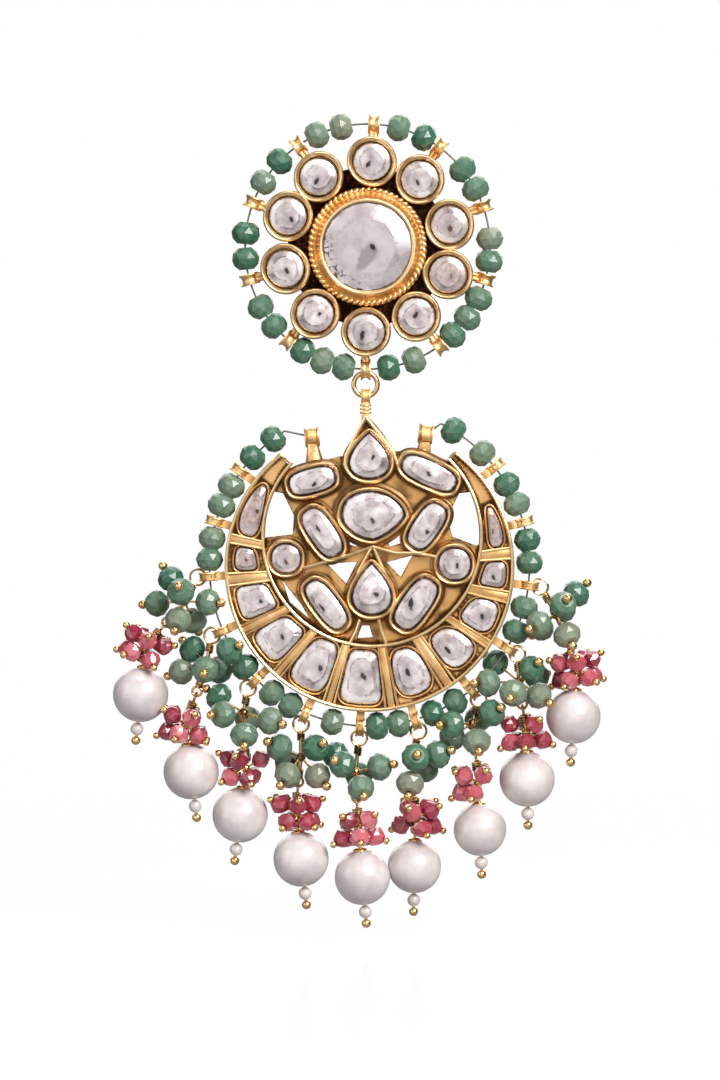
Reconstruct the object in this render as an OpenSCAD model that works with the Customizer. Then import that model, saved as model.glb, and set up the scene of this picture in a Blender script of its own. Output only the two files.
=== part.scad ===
// Chandbali earring, the left one of a pair: a round stud, a link and a crescent drop
// with nine strands of beads and pearls. Millimetres, +Z up, the front faces -Y.
// The origin is the centre of the stud's back, where it sits on the ear lobe.
// Places on the face are [x, z] pairs, and angles run clockwise from the top as seen
// from the front.

/* [Stud] */
// Radius of the circle that the petal stones sit on
petal_ring_r = 9.16; // [9.12:0.02:9.2]
// Diameter of a petal stone
petal_stone_d = 4.06; // [3.8:0.02:4.1]
// Outer diameter of a petal's collet
petal_collet_d = 5.34; // [5.2:0.02:5.36]
// Diameter of the centre stone
center_stone_d = 10.1; // [9.6:0.1:10.2]
// Outer diameter of the step that carries the centre bezel's rope
center_bezel_d = 12.8; // [12.4:0.1:12.8]
// Depth of the stud's settings from back to front
stud_depth = 3.0; // [2.8:0.1:3.2]
// Radius of the circle that the stud's beads are strung on
stud_string_r = 13.2; // [13.2:0.02:13.3]

/* [Post] */
// Diameter of the ear post
post_d = 0.9; // [0.8:0.05:1]
// Length of the ear post behind the stud
post_l = 10.5; // [9:0.5:12]

/* [Link] */
// Radius of the link's centre line
link_r = 1.285; // [1.27:0.005:1.3]
// Diameter of the link's wire
link_wire_d = 0.53; // [0.5:0.01:0.54]

/* [Crescent] */
// Outer radius of the crescent
crescent_r = 15.64; // [15.5:0.02:15.7]
// Radius of the open circle inside the crescent
inner_r = 11.6; // [11.5:0.02:11.7]
// Depth of the crescent from back to front
crescent_depth = 2.5; // [2.3:0.1:2.7]
// Radius of the circle that the rim beads are strung on
rim_string_r = 17.3; // [17.28:0.01:17.32]

/* [Beads and pearls] */
// Diameter of a green bead
bead_d = 3.05; // [2.8:0.05:3.05]
// Length of a green bead along its hole
bead_l = 2.15; // [2:0.05:2.15]
// Diameter of a pink bead
pink_d = 2; // [1.8:0.05:2.05]
// Length of a pink bead along its hole
pink_l = 1.7; // [1.5:0.05:1.75]
// Diameter of the seed pearl under each pearl
seed_d = 1.4; // [1.2:0.05:1.45]
// Diameter of the string that carries the beads
string_d = 0.2; // [0.15:0.01:0.22]

/* [Hidden] */
$fn = 48;

// Gap between a stone and its setting
fit_gap = 0.06;
// Thickness of a stone's bed of gold behind it
bed = 1.2;
// Depth of the plane that the strings, the link and the drop hang in
mid_y = -1.55;
// Back of the crescent's frame
drop_back = mid_y + crescent_depth / 2;
// Height of a stone's table above its setting's edge
stone_rise = 0.35;
// Rings of a cut stone from its back to its table: share of the outline, share of the depth
cut_rings = [[0.92, 0], [1, 0.45], [0.97, 0.7], [0.76, 0.92], [0.48, 1]];
// Radii of a bead's flat faces and of its shoulders, as shares of its diameter
bead_face = 0.24;
bead_shoulder = 0.45;

// Stud: angles of the petals, of the eyelets outside them and of the beads on the string
petal_angles = [3, 38, 75, 109, 145, 181, 218, 255, 291, 325];
stud_eyelet_angles = [3, 36, 71, 105.5, 144, 220, 254.5, 291, 325.6];
stud_bead_angles = [
    14.7, 27.4, 50.9, 61.8, 86.2, 96.8, 114.9, 125.4, 135.9, 157.7, 170.1,
    191.2, 201.6, 212, 229.7, 240.7, 264.4, 276.3, 301.7, 314.1, 335.6, 347.5
];
back_plate_r = 8.6;
back_plate_t = 0.9;
center_bezel_rise = 0.35;
center_bezel_step = 1.2;
center_stone_rise = 0.6;
rope_step = 0.5;
stud_neck_l = 1.9;
post_tip_l = 0.3;

// Eyelets: short tubes on a neck, with their holes along the string
eyelet_hole_r = 0.55;
eyelet_wall = 0.4;
eyelet_w = 1.2;
neck_t = 1.1;

// Link and the two eyes that hold it
link_x = -0.2;
link_z = -14.85;
stud_eye_z = -13.25;
stud_eye_hole_r = 0.76;
stud_eye_w = 1;
stud_eye_wall = 0.3;
drop_eye_z = link_z - link_r;
drop_eye_hole_r = 0.42;
drop_eye_w = 0.9;
drop_eye_wall = 0.4;
drop_neck_l = 3.2;

// Crescent: centres of its two circles, and the angles where its tips end
crescent_c = [0.22, -34.55];
inner_c = [0.5, -31.28];
tip_angles = [-38.4, 37.2];
// Stones of the crescent: first angle, last angle, gold left at the inner and the outer
// edge, and how square the stone is, from 2 for an oval upwards
crescent_stones = [
    [-75.5, -52, 0.55, 0.6, 2.6],
    [-91.5, -81, 1.2, 1.1, 3.5],
    [-113.5, -98.5, 0.95, 0.95, 3.2],
    [-136, -119.5, 0.9, 1, 3],
    [-160, -142, 0.6, 0.8, 2.8],
    [-185.5, -166.5, 0.7, 0.8, 4],
    [-210, -192.5, 1, 1, 2.4],
    [-234.5, -218, 0.9, 1.1, 2.4],
    [-254.5, -239.5, 1.2, 1, 2.6],
    [-272.5, -261, 1.1, 1, 3.2],
    [-297, -279, 1.1, 0.8, 2.4]
];

// Stones inside the crescent: centre x, centre z, tilt, width, height, width and height
// that the setting adds, its rise above the stone's centre, and the outline's kind
OVAL = 0;
DROP = 1;
PEAR = 2;
inner_stones = [
    [0.2, -22.5, 0, 4.4, 5, 1.2, 2.2, 0.42, DROP],
    [-5.97, -25.2, 15, 5.1, 2.6, 1.1, 1.1, 0, OVAL],
    [6.64, -24.4, -25, 6.3, 2.6, 1.1, 1.1, 0, OVAL],
    [0.6, -28.95, 0, 6.8, 5.2, 1.2, 1.2, 0, PEAR],
    [-4.9, -30.8, 34, 2.8, 5.9, 1.1, 1.1, 0, OVAL],
    [6.4, -30.1, -34, 2.8, 5.5, 1.1, 1.1, 0, OVAL],
    [-8.8, -33.6, 0, 3.2, 3.2, 1.1, 1.1, 0, OVAL],
    [9.4, -34.2, 0, 3.5, 3.5, 1.1, 1.1, 0, OVAL],
    [0.45, -36.9, 0, 4.3, 5.6, 1.2, 1.8, 0.3, DROP],
    [-4.45, -38.6, 37, 2.6, 6.1, 1.1, 1.1, 0, OVAL],
    [5.2, -38.5, -35, 3, 6.2, 1.1, 1.1, 0, OVAL]
];
inner_plate_t = 1.5;
inner_plate_set_back = 0.2;
inner_plate_lap = 0.2;
// Upper edge of the plate inside the crescent, then a wide margin below it
inner_plate_edge = [
    [-13, -32], [-9.6, -24.2], [-2.9, -22.6], [3.9, -22], [9.9, -23.4], [13.5, -30],
    [14, -50], [-14, -50]
];
// Openings pierced through that plate
openings = [
    [
        [-10.6, -26.3], [-9.1, -26.6], [-7.95, -28.95], [-8.07, -31.05],
        [-10.2, -31.3], [-12.6, -31.6]
    ],
    [[9.9, -26.6], [11.6, -26.4], [13.2, -31.3], [11.8, -32.3], [9.2, -31.3], [8.6, -29.2]],
    [[-2.7, -31.9], [-1.9, -30.6], [-0.8, -31.5], [-1.2, -32.4]],
    [[3.9, -31.9], [2.4, -32.4], [2, -31.4], [3.1, -30.5]],
    [[-4.4, -34.2], [-2.3, -36.4], [-1.1, -34]],
    [[2.05, -34.05], [3.6, -35.7], [4.9, -33.3]],
    [[-1.1, -42.3], [0.6, -42.2], [0.2, -40.9], [-0.6, -40.9]],
    [[-9.3, -35.9], [-8.4, -38.4], [-6.2, -40.3], [-7.1, -38.7]]
];

// Rim: angles of the eyelets and of the beads on the string round the crescent
rim_eyelet_r = 17.4;
rim_eyelet_hole_r = 0.7;
rim_eyelet_wall = 0.3;
rim_eyelet_w = 0.85;
rim_neck_l = 2.2;
plain_eyelet_angles = [-53.5, -73.6, 73.7, 51.4];
strand_angles = [-93.5, -113.6, -135, -156.5, -176.6, 163.4, 140.6, 120.6, 96.7];
rim_bead_angles = [
    -37, -46.9, -59.6, -67.5, -79.65, -87.45, -128.9, -142.3, -150.4, -166.6,
    177.3, 169.5, 156.7, 147.6, 113.9, 104.8, 88.5, 80.3, 66.9, 58.9, 44.8, 31.6
];
string_end_angles = [-32, 26.5];
top_posts = [[-6, -20.5], [6.3, -20.3]];
top_post_foot_z = -23.6;

// Strands: centre of the green cluster, of the pink cluster and of the pearl as [x, z],
// depth of the pink cluster and the pearl, diameter of the pearl, twist of the pink beads
strands = [
    [[-19.8, -38.3], [-24, -43.3], [-24.55, -48.4], -1.55, 6, 20],
    [[-17.4, -45], [-19.7, -51.7], [-19.1, -56.8], -1.55, 6, 0],
    [[-13.4, -50.4], [-13.2, -56.4], [-13.8, -61.5], -1.55, 6, 40],
    [[-7.2, -55.2], [-7.8, -61.2], [-7.2, -66.3], -1.55, 6, 10],
    [[-1.3, -56.8], [-1, -62.9], [-0.55, -68.2], -2.4, 6, 50],
    [[4.9, -55.7], [5.2, -61.9], [5.1, -67.2], -0.7, 5.8, 30],
    [[11.4, -51.5], [12, -58], [12.2, -63.1], -1.55, 5.7, 0],
    [[16.4, -47], [17.2, -52.5], [17.3, -57.6], -1.55, 6, 60],
    [[20.4, -39.7], [22.6, -45.7], [22.3, -50.8], -1.55, 5.9, 15]
];

// Green beads of each strand: centre of each bead from the centre of its cluster
green_offsets = [
    [
        [-1.5, 0.8, 2.4], [-0.3, -2.6, 1.2], [2.6, -1.6, 0],
        [-3, 1.1, -0.3], [-0.6, -2.1, -1.9], [0.9, 1.6, -2.2]
    ],
    [
        [-1.6, 1.4, 1.4], [2.5, -2.2, 1.5], [-0.1, -2.6, -0.5],
        [-2.8, 1.2, -1], [1.3, 2.3, -0.9]
    ],
    [
        [-2.7, 0.5, 1.7], [-2.2, -2, 0], [2.9, -2.05, -0.7],
        [0.1, -2.5, -2.2], [0.4, 2.4, -0.9]
    ],
    [
        [-2.3, -1.5, 1.2], [1.6, -2.4, 1.2], [1.8, -1.5, -1.9],
        [-1.4, -1.9, -1.8], [-1.4, 2.1, -0.9]
    ],
    [
        [-2.2, 0.6, 1.8], [-1.4, -2.4, 1], [2.6, -0.8, 0.6],
        [0.6, -2.7, -1.5], [0.4, 2.5, -0.7]
    ],
    [
        [0.3, -2.6, 0.7], [2.7, -1.2, 0.9], [-0.3, -1.8, -2.2],
        [1.4, 2.1, -1]
    ],
    [
        [-2.3, -2, 0], [2, -2.3, 1.3], [0.4, -2.4, -1.8],
        [-2.2, 1.3, -1.6], [0.6, 2.5, 0.2]
    ],
    [
        [-2.5, 1.8, 1.9], [-3.4, -1.9, 0], [-0.7, -3.1, -1],
        [1.3, -2.1, 1.5], [2.1, -1.7, -1.4], [2, 2.2, 0.4]
    ],
    [
        [2.2, 0.4, 2.2], [0.7, -2.3, 1.2], [-1.9, -2.2, -0.9],
        [1.1, -2.1, -2.1], [0.8, 2.45, 0.4], [-1.6, 1.9, -1.6]
    ]
];

// Cluster metal
pin_start = 0.4;
pin_d = 0.24;
ball_d = 1;
hub_d = 1.1;
bore_d = 0.55;
hanger_r = 0.85;
hanger_wire_d = 0.26;
hanger_in = 0.34;
stem_d = 0.44;
loop_r = 0.5;
loop_wire_d = 0.3;
loop_apart = 0.6;
small_loop_r = 0.42;
small_loop_wire_d = 0.26;
small_loop_drop = 0.85;
small_loop_apart = 0.48;
small_stem_d = 0.34;
end_gap = 0.1;
pink_reach = 2.1;
pink_tilt = 26.6;
pink_per_ring = 5;
pink_ball_d = 0.7;
pink_tip = pink_reach + pink_l / 2 + end_gap / 2 + pink_ball_d / 2;
pink_pin_d = 0.22;
pink_bore_d = 0.5;
pink_hub_d = 1;
pearl_bore_d = 0.7;
pearl_gap = 0.06;
end_ball_d = 1;

function clock(a) = [sin(a), cos(a)];
function unit(v) = v / norm(v);
function on_face(p, y) = [p[0], y, p[1]];
function power(v, e) = sign(v) * pow(abs(v), e);
function turned(p, a) = [p[0] * cos(a) - p[1] * sin(a), p[0] * sin(a) + p[1] * cos(a)];

// Distance from the crescent's centre to its inner circle at an angle
function inner_reach(a) =
    let (d = inner_c - crescent_c, along = d * clock(a))
    along + sqrt(along * along - d * d + inner_r * inner_r);

// Point of a crescent cell: across and out both run from -1 to 1
function cell_point(row, across, out, grow) =
    let (
        a = (row[0] + row[1]) / 2 + across * ((row[1] - row[0]) / 2),
        inner = inner_reach(a) + row[2] - grow,
        outer = crescent_r - row[3] + grow,
        side = grow * across * clock(a + 90)
    )
    crescent_c + ((inner + outer) / 2 + out * (outer - inner) / 2) * clock(a) + side;
function cell_outline(row, grow, count = 16) = [
    for (k = [0:count - 1])
        let (t = 360 * k / count)
        cell_point(row, power(cos(t), 2 / row[4]), power(sin(t), 2 / row[4]), grow)
];
function cell_center(row) = cell_point(row, 0, 0, 0);

// Outline of an inner stone or of its setting. An exponent under 1 makes an oval fuller,
// and one over 1 draws a pear in below its middle.
oval_fullness = 0.85;
pear_taper = 1.15;
drop_spread = 0.65;
function lower_half(t) = t > 90 && t < 270;
function kind_point(kind, w, h, t) =
    let (e = kind == PEAR && lower_half(t) ? pear_taper : oval_fullness)
    kind == DROP ? [w * drop_spread * sin(-t) * sin(t / 2), h / 2 * cos(t)]
    : [w / 2 * power(-sin(t), e), h / 2 * power(cos(t), e)];
function stone_outline(row, w, h, lift, count = 16) = [
    for (k = [0:count - 1])
        [row[0], row[1]] + turned(kind_point(row[8], w, h, 360 * k / count) + [0, lift], row[2])
];
function stone_edge(row) = stone_outline(row, row[3], row[4], 0);
function pocket_edge(row) = stone_outline(row, row[3] + 2 * fit_gap, row[4] + 2 * fit_gap, 0);
function setting_edge(row) = stone_outline(row, row[3] + row[5], row[4] + row[6], row[7], 20);

function green_hub(i) = on_face(strands[i][0], mid_y);
function pink_hub(i) = on_face(strands[i][1], strands[i][3]);
function pearl_center(i) = on_face(strands[i][2], strands[i][3]);
function hanger_center(i) =
    on_face(crescent_c + (rim_eyelet_r + hanger_in + hanger_r) * clock(strand_angles[i]), mid_y);

// A pink cluster's beads point out in two staggered rings round its strand. A bead is left
// off where it or its ball would come too near a pearl, a green bead or another cluster.
function pink_axis(i) = unit(
    unit(green_hub(i) - pink_hub(i)) + unit(pink_hub(i) - pearl_center(i))
);
function pink_ring_directions(i) = [
    for (side = [1, -1], k = [0:pink_per_ring - 1])
        let (a = strands[i][5] + 360 / pink_per_ring * (k + (side + 1) / 4))
        along(pink_axis(i), [cos(pink_tilt) * cos(a), cos(pink_tilt) * sin(a), side * sin(pink_tilt)])
];
function along(axis, v) =
    let (side = unit(cross(axis, [0, 1, 0])), front = cross(side, axis))
    v[0] * side + v[1] * front + v[2] * axis;
function pink_room(i, p) = min(concat(
    [for (j = [0:len(strands) - 1]) norm(p - pearl_center(j)) - strands[j][4] / 2],
    [for (j = [0:len(strands) - 1], q = green_offsets[j]) norm(p - green_hub(j) - q) - bead_d / 2],
    [for (j = [0:len(strands) - 1]) if (j != i) (norm(p - pink_hub(j)) - norm(p - pink_hub(i))) / 2]
));
function pink_directions(i) = [
    for (v = pink_ring_directions(i))
        if (pink_room(i, pink_hub(i) + pink_reach * v) > pink_d / 2 + end_gap
            && pink_room(i, pink_hub(i) + pink_tip * v) > pink_ball_d / 2 + end_gap)
            v
];

// Turns 2-D work drawn on the face into a solid from y_back forwards
module forward(y_back, depth) {
    translate([0, y_back, 0])
        rotate([90, 0, 0])
            linear_extrude(depth)
                children();
}

// Puts work at an angle on a circle, with its Z axis pointing outwards
module at_clock(center, r, a, y) {
    translate(on_face(center + r * clock(a), y))
        rotate([0, a, 0])
            children();
}

// Puts work at a point, with its Z axis pointing along a direction
module aimed(p, v) {
    translate(p)
        rotate([0, acos(v[2] / norm(v)), atan2(v[1], v[0])])
            children();
}

module rod(p, q, d) {
    aimed(p, q - p)
        cylinder(h = norm(q - p), d = d, $fn = 16);
}

module ring(r, wire_d) {
    rotate_extrude()
        translate([r, 0])
            circle(d = wire_d, $fn = 16);
}

module eyelet(w, hole_r, wall, neck_l) {
    difference() {
        union() {
            rotate([0, 90, 0])
                cylinder(h = w, r = hole_r + wall, center = true);
            translate([-w / 2, -neck_t / 2, -neck_l])
                cube([w, neck_t, neck_l]);
        }
        rotate([0, 90, 0])
            cylinder(h = w + 1, r = hole_r, center = true);
    }
}

// Drilled bead with a rounded edge, its hole along Z
module drilled_bead(d, l, bore) {
    face_r = bead_face * d;
    shoulder_r = bead_shoulder * d;
    rotate_extrude()
        polygon([
            [bore / 2, -l / 2], [face_r, -l / 2], [shoulder_r, -l / 4], [d / 2, 0],
            [shoulder_r, l / 4], [face_r, l / 2], [bore / 2, l / 2]
        ]);
}

// Faceted stone from its back to its table, drawn round its own centre
module cut_stone(edge, center, back, depth) {
    rings = cut_rings;
    count = len(edge);
    points = [
        for (ring = rings, p = edge)
            let (q = center + ring[0] * (p - center))
            [q[0], back - ring[1] * depth, q[1]]
    ];
    sides = [
        for (k = [0:len(rings) - 2], i = [0:count - 1])
            let (j = (i + 1) % count)
            [k * count + i, (k + 1) * count + i, (k + 1) * count + j, k * count + j]
    ];
    last = (len(rings) - 1) * count;
    polyhedron(
        points = points,
        faces = concat(
            [[for (i = [0:count - 1]) i]],
            sides,
            [[for (i = [count - 1:-1:0]) last + i]]
        )
    );
}

module round_stone(p, d, front, rise) {
    count = 16;
    edge = [for (k = [0:count - 1]) p + d / 2 * [cos(360 * k / count), sin(360 * k / count)]];
    cut_stone(edge, p, -bed - fit_gap, front - bed - fit_gap + rise);
}

module stud_frame() {
    color("goldenrod")
    difference() {
        union() {
            forward(0, back_plate_t)
                circle(back_plate_r);
            forward(0, stud_depth - rope_step)
                circle(d = center_bezel_d);
            forward(0, stud_depth + center_bezel_rise)
                circle(d = center_bezel_d - center_bezel_step);
            for (a = petal_angles)
                forward(0, stud_depth)
                    translate(petal_ring_r * clock(a))
                        circle(d = petal_collet_d);
            for (a = stud_eyelet_angles)
                at_clock([0, 0], stud_string_r, a, mid_y)
                    eyelet(eyelet_w, eyelet_hole_r, eyelet_wall, stud_neck_l);
            translate([link_x, mid_y, stud_eye_z])
                rotate([0, 180, 0])
                    eyelet(stud_eye_w, stud_eye_hole_r, stud_eye_wall, stud_neck_l);
        }
        forward(-bed, stud_depth)
            circle(d = center_stone_d + 2 * fit_gap);
        for (a = petal_angles)
            forward(-bed, stud_depth)
                translate(petal_ring_r * clock(a))
                    circle(d = petal_stone_d + 2 * fit_gap);
    }
}

module ear_post() {
    color("goldenrod")
    rotate([-90, 0, 0])
        rotate_extrude()
            polygon([
                [0, 0], [post_d / 2, 0], [post_d / 2, post_l - post_tip_l],
                [post_d / 4, post_l], [0, post_l]
            ]);
}

module stud_center_stone() {
    color("lightsteelblue")
    round_stone([0, 0], center_stone_d, stud_depth + center_bezel_rise, center_stone_rise);
}

module petal_stone(i) {
    color("lightsteelblue")
    round_stone(petal_ring_r * clock(petal_angles[i]), petal_stone_d, stud_depth, stone_rise);
}

module stud_beads() {
    color("mediumseagreen")
    for (a = stud_bead_angles)
        at_clock([0, 0], stud_string_r, a, mid_y)
            rotate([0, 90, 0])
                drilled_bead(bead_d, bead_l, bore_d);
}

module stud_string() {
    color("dimgray")
    translate([0, mid_y, 0])
        rotate([90, 0, 0])
            ring(stud_string_r, string_d);
}

module link_ring() {
    color("gold")
    translate([link_x, mid_y, link_z])
        rotate([90, 0, 0])
            ring(link_r, link_wire_d);
}

module crescent_band() {
    difference() {
        translate(crescent_c)
            circle(crescent_r);
        translate(inner_c)
            circle(inner_r);
        polygon([
            crescent_c, crescent_c + 2 * crescent_r * clock(tip_angles[0]),
            crescent_c + [0, 3 * crescent_r], crescent_c + 2 * crescent_r * clock(tip_angles[1])
        ]);
    }
}

module inner_plate() {
    difference() {
        intersection() {
            translate(inner_c)
                circle(inner_r + inner_plate_lap);
            polygon(inner_plate_edge);
        }
        for (edge = openings)
            polygon(edge);
    }
}

module crescent_frame() {
    front = crescent_depth;
    color("goldenrod")
    difference() {
        union() {
            forward(drop_back, crescent_depth)
                crescent_band();
            forward(drop_back - inner_plate_set_back, inner_plate_t)
                inner_plate();
            for (row = inner_stones)
                forward(drop_back, crescent_depth)
                    polygon(setting_edge(row));
            translate([link_x, mid_y, drop_eye_z])
                eyelet(drop_eye_w, drop_eye_hole_r, drop_eye_wall, drop_neck_l);
            for (a = concat(plain_eyelet_angles, strand_angles))
                at_clock(crescent_c, rim_eyelet_r, a, mid_y)
                    eyelet(rim_eyelet_w, rim_eyelet_hole_r, rim_eyelet_wall, rim_neck_l);
            for (p = top_posts)
                translate(on_face(p, mid_y))
                    eyelet(rim_eyelet_w, eyelet_hole_r, eyelet_wall, p[1] - top_post_foot_z);
        }
        for (row = crescent_stones)
            forward(drop_back - bed, front)
                polygon(cell_outline(row, fit_gap));
        for (row = inner_stones)
            forward(drop_back - bed, front)
                polygon(pocket_edge(row));
    }
}

module crescent_stone(i) {
    row = crescent_stones[i];
    color("lightsteelblue")
    cut_stone(cell_outline(row, 0), cell_center(row), drop_back - bed - fit_gap,
        crescent_depth - bed - fit_gap + stone_rise);
}

module inner_stone(i) {
    row = inner_stones[i];
    color("lightsteelblue")
    cut_stone(stone_edge(row), [row[0], row[1]], drop_back - bed - fit_gap,
        crescent_depth - bed - fit_gap + stone_rise);
}

module rim_beads() {
    color("mediumseagreen")
    for (a = rim_bead_angles)
        at_clock(crescent_c, rim_string_r, a, mid_y)
            rotate([0, 90, 0])
                drilled_bead(bead_d, bead_l, bore_d);
}

module rim_string() {
    ends = [for (a = string_end_angles) on_face(crescent_c + rim_string_r * clock(a), mid_y)];
    color("dimgray") {
        translate(on_face(crescent_c, mid_y))
            rotate([90, 0, 0])
                rotate([0, 0, 90 - string_end_angles[0]])
                    rotate_extrude(angle = 360 + string_end_angles[0] - string_end_angles[1])
                        translate([rim_string_r, 0])
                            circle(d = string_d);
        for (k = [0, 1])
            rod(ends[k], on_face(top_posts[k], mid_y), string_d);
    }
}

module green_beads() {
    color("seagreen")
    for (i = [0:len(strands) - 1], p = green_offsets[i])
        aimed(green_hub(i) + p, p)
            drilled_bead(bead_d, bead_l, bore_d);
}

// Loop at p on the strand that runs along v, flat to the front or turned sideways
module loop(p, v, r, wire_d, sideways) {
    aimed(p, v)
        rotate([0, 0, sideways ? 90 : 0])
            rotate([90, 0, 0])
                ring(r, wire_d);
}

module green_pins() {
    color("gold")
    for (i = [0:len(strands) - 1]) {
        hub = green_hub(i);
        hanger = hanger_center(i);
        up = unit(hanger - hub);
        down = unit(pink_hub(i) - hub);
        middle = (hub + pink_hub(i)) / 2 - down * loop_apart / 2;
        union() {
            translate(hanger)
                rotate([90, 0, 0])
                    ring(hanger_r, hanger_wire_d);
            rod(hanger - up * hanger_r, hub + up * hub_d * pin_start, stem_d);
            translate(hub)
                sphere(d = hub_d, $fn = 24);
            rod(hub + down * hub_d * pin_start, middle - down * loop_r, stem_d);
            loop(middle, down, loop_r, loop_wire_d, false);
            for (p = green_offsets[i]) {
                tip = hub + p + unit(p) * (bead_l / 2 + end_gap + ball_d / 2);
                rod(hub + unit(p) * hub_d * pin_start, tip, pin_d);
                translate(tip)
                    sphere(d = ball_d, $fn = 24);
            }
        }
    }
}

module pink_beads() {
    color("palevioletred")
    for (i = [0:len(strands) - 1], v = pink_directions(i))
        aimed(pink_hub(i) + pink_reach * v, v)
            drilled_bead(pink_d, pink_l, pink_bore_d);
}

module pink_pins() {
    color("gold")
    for (i = [0:len(strands) - 1]) {
        hub = pink_hub(i);
        up = unit(green_hub(i) - hub);
        down = unit(pearl_center(i) - hub);
        middle = (hub + green_hub(i)) / 2 - up * loop_apart / 2;
        union() {
            loop(middle, up, loop_r, loop_wire_d, true);
            rod(middle - up * loop_r, hub + up * pink_hub_d * pin_start, stem_d);
            translate(hub)
                sphere(d = pink_hub_d, $fn = 24);
            loop(hub + down * small_loop_drop, down, small_loop_r, small_loop_wire_d, true);
            for (v = pink_directions(i)) {
                rod(hub + pin_start * pink_hub_d * v, hub + pink_tip * v, pink_pin_d);
                translate(hub + pink_tip * v)
                    sphere(d = pink_ball_d, $fn = 24);
            }
        }
    }
}

module pearl(i) {
    color("linen")
    aimed(pearl_center(i), pink_hub(i) - pearl_center(i))
        difference() {
            sphere(d = strands[i][4]);
            cylinder(h = strands[i][4] + 1, d = pearl_bore_d, center = true);
        }
}

module seed_pearls() {
    color("linen")
    for (i = [0:len(strands) - 1])
        aimed(pearl_center(i), pearl_center(i) - pink_hub(i))
            translate([0, 0, strands[i][4] / 2 + pearl_gap + seed_d / 2])
                drilled_bead(seed_d, seed_d, bore_d);
}

module pearl_pins() {
    color("gold")
    for (i = [0:len(strands) - 1]) {
        hub = pink_hub(i);
        down = unit(pearl_center(i) - hub);
        top = hub + down * (small_loop_drop + small_loop_apart);
        tip = pearl_center(i) + down * (strands[i][4] / 2 + 2 * pearl_gap + seed_d + end_ball_d / 2);
        union() {
            loop(top, down, small_loop_r, small_loop_wire_d, false);
            rod(top + down * small_loop_r, tip, small_stem_d);
            translate(tip)
                sphere(d = end_ball_d, $fn = 24);
        }
    }
}

stud_frame();
ear_post();
stud_center_stone();
for (i = [0:len(petal_angles) - 1])
    petal_stone(i);
stud_beads();
stud_string();
link_ring();
crescent_frame();
for (i = [0:len(crescent_stones) - 1])
    crescent_stone(i);
inner_stone(0);  // top_teardrop_stone
inner_stone(1);  // upper_left_stone
inner_stone(2);  // upper_right_stone
inner_stone(3);  // center_pear_stone
inner_stone(4);  // mid_left_stone
inner_stone(5);  // mid_right_stone
inner_stone(6);  // left_round_stone
inner_stone(7);  // right_round_stone
inner_stone(8);  // lower_teardrop_stone
inner_stone(9);  // lower_left_stone
inner_stone(10);  // lower_right_stone
rim_beads();
rim_string();
green_beads();
green_pins();
pink_beads();
pink_pins();
for (i = [0:len(strands) - 1])
    pearl(i);
seed_pearls();
pearl_pins();
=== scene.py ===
"""Looks of a chandbali earring: polki stones in gold, green and pink beads, pearls."""

import random
from math import atan2, copysign, cos, pi, radians, sin, sqrt, tau

import bmesh
import bpy
from mathutils import Matrix, Vector
from mathutils.kdtree import KDTree


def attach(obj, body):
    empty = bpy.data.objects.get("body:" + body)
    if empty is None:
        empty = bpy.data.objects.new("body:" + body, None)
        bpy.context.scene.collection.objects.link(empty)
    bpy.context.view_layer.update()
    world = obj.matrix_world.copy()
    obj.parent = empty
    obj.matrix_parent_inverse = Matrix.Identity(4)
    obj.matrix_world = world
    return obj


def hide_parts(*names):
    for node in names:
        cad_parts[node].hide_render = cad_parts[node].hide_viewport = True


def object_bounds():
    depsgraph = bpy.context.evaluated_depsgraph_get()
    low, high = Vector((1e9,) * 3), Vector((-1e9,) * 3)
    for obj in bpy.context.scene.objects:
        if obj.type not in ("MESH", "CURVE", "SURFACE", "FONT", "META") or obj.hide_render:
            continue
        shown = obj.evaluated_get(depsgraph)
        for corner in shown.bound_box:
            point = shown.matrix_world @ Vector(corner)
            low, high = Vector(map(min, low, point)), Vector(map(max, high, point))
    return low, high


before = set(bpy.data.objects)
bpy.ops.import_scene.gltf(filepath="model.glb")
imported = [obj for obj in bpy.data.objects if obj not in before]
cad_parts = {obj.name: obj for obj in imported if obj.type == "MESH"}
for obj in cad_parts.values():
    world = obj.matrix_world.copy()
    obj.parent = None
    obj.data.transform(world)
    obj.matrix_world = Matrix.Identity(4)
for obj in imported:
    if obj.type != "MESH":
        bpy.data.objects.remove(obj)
cad_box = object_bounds()

MM = 0.001
chance = random.Random(12)

# Sizes and places of the construction, in millimetres. Places on the face are (x, z), y runs
# from the front to the back, and angles run clockwise from the top as seen from the front.
FACE_MIDDLE = Vector((0, 0))
TO_THE_BACK = Vector((0, 1, 0))
MID_Y = -1.55
PETAL_RING_R = 9.16
PETAL_STONE_D = 4.06
CENTER_STONE_D = 10.1
STUD_DEPTH = 3.0
ROPE_R = 6.08
ROPE_STEP_Y = -2.5
STUD_STRING_R = 13.2
LINK_CENTER = Vector((-0.2, MID_Y, -14.85))
LINK_R = 1.285
LINK_WIRE_D = 0.53
DROP_BACK = -0.3
CRESCENT_DEPTH = 2.5
CRESCENT_FRONT = DROP_BACK - CRESCENT_DEPTH
CRESCENT_R = 15.64
CRESCENT_C = Vector((0.22, -34.55))
INNER_R = 11.6
INNER_C = Vector((0.5, -31.28))
RIM_STRING_R = 17.3
RIM_EYELET_R = 17.4
BEAD_D = 3.05
BEAD_L = 2.15
PINK_D = 2.0
PINK_L = 1.7
SEED_D = 1.4

PETAL_ANGLES = (3, 38, 75, 109, 145, 181, 218, 255, 291, 325)
STUD_EYELET_ANGLES = (3, 36, 71, 105.5, 144, 220, 254.5, 291, 325.6)
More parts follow.
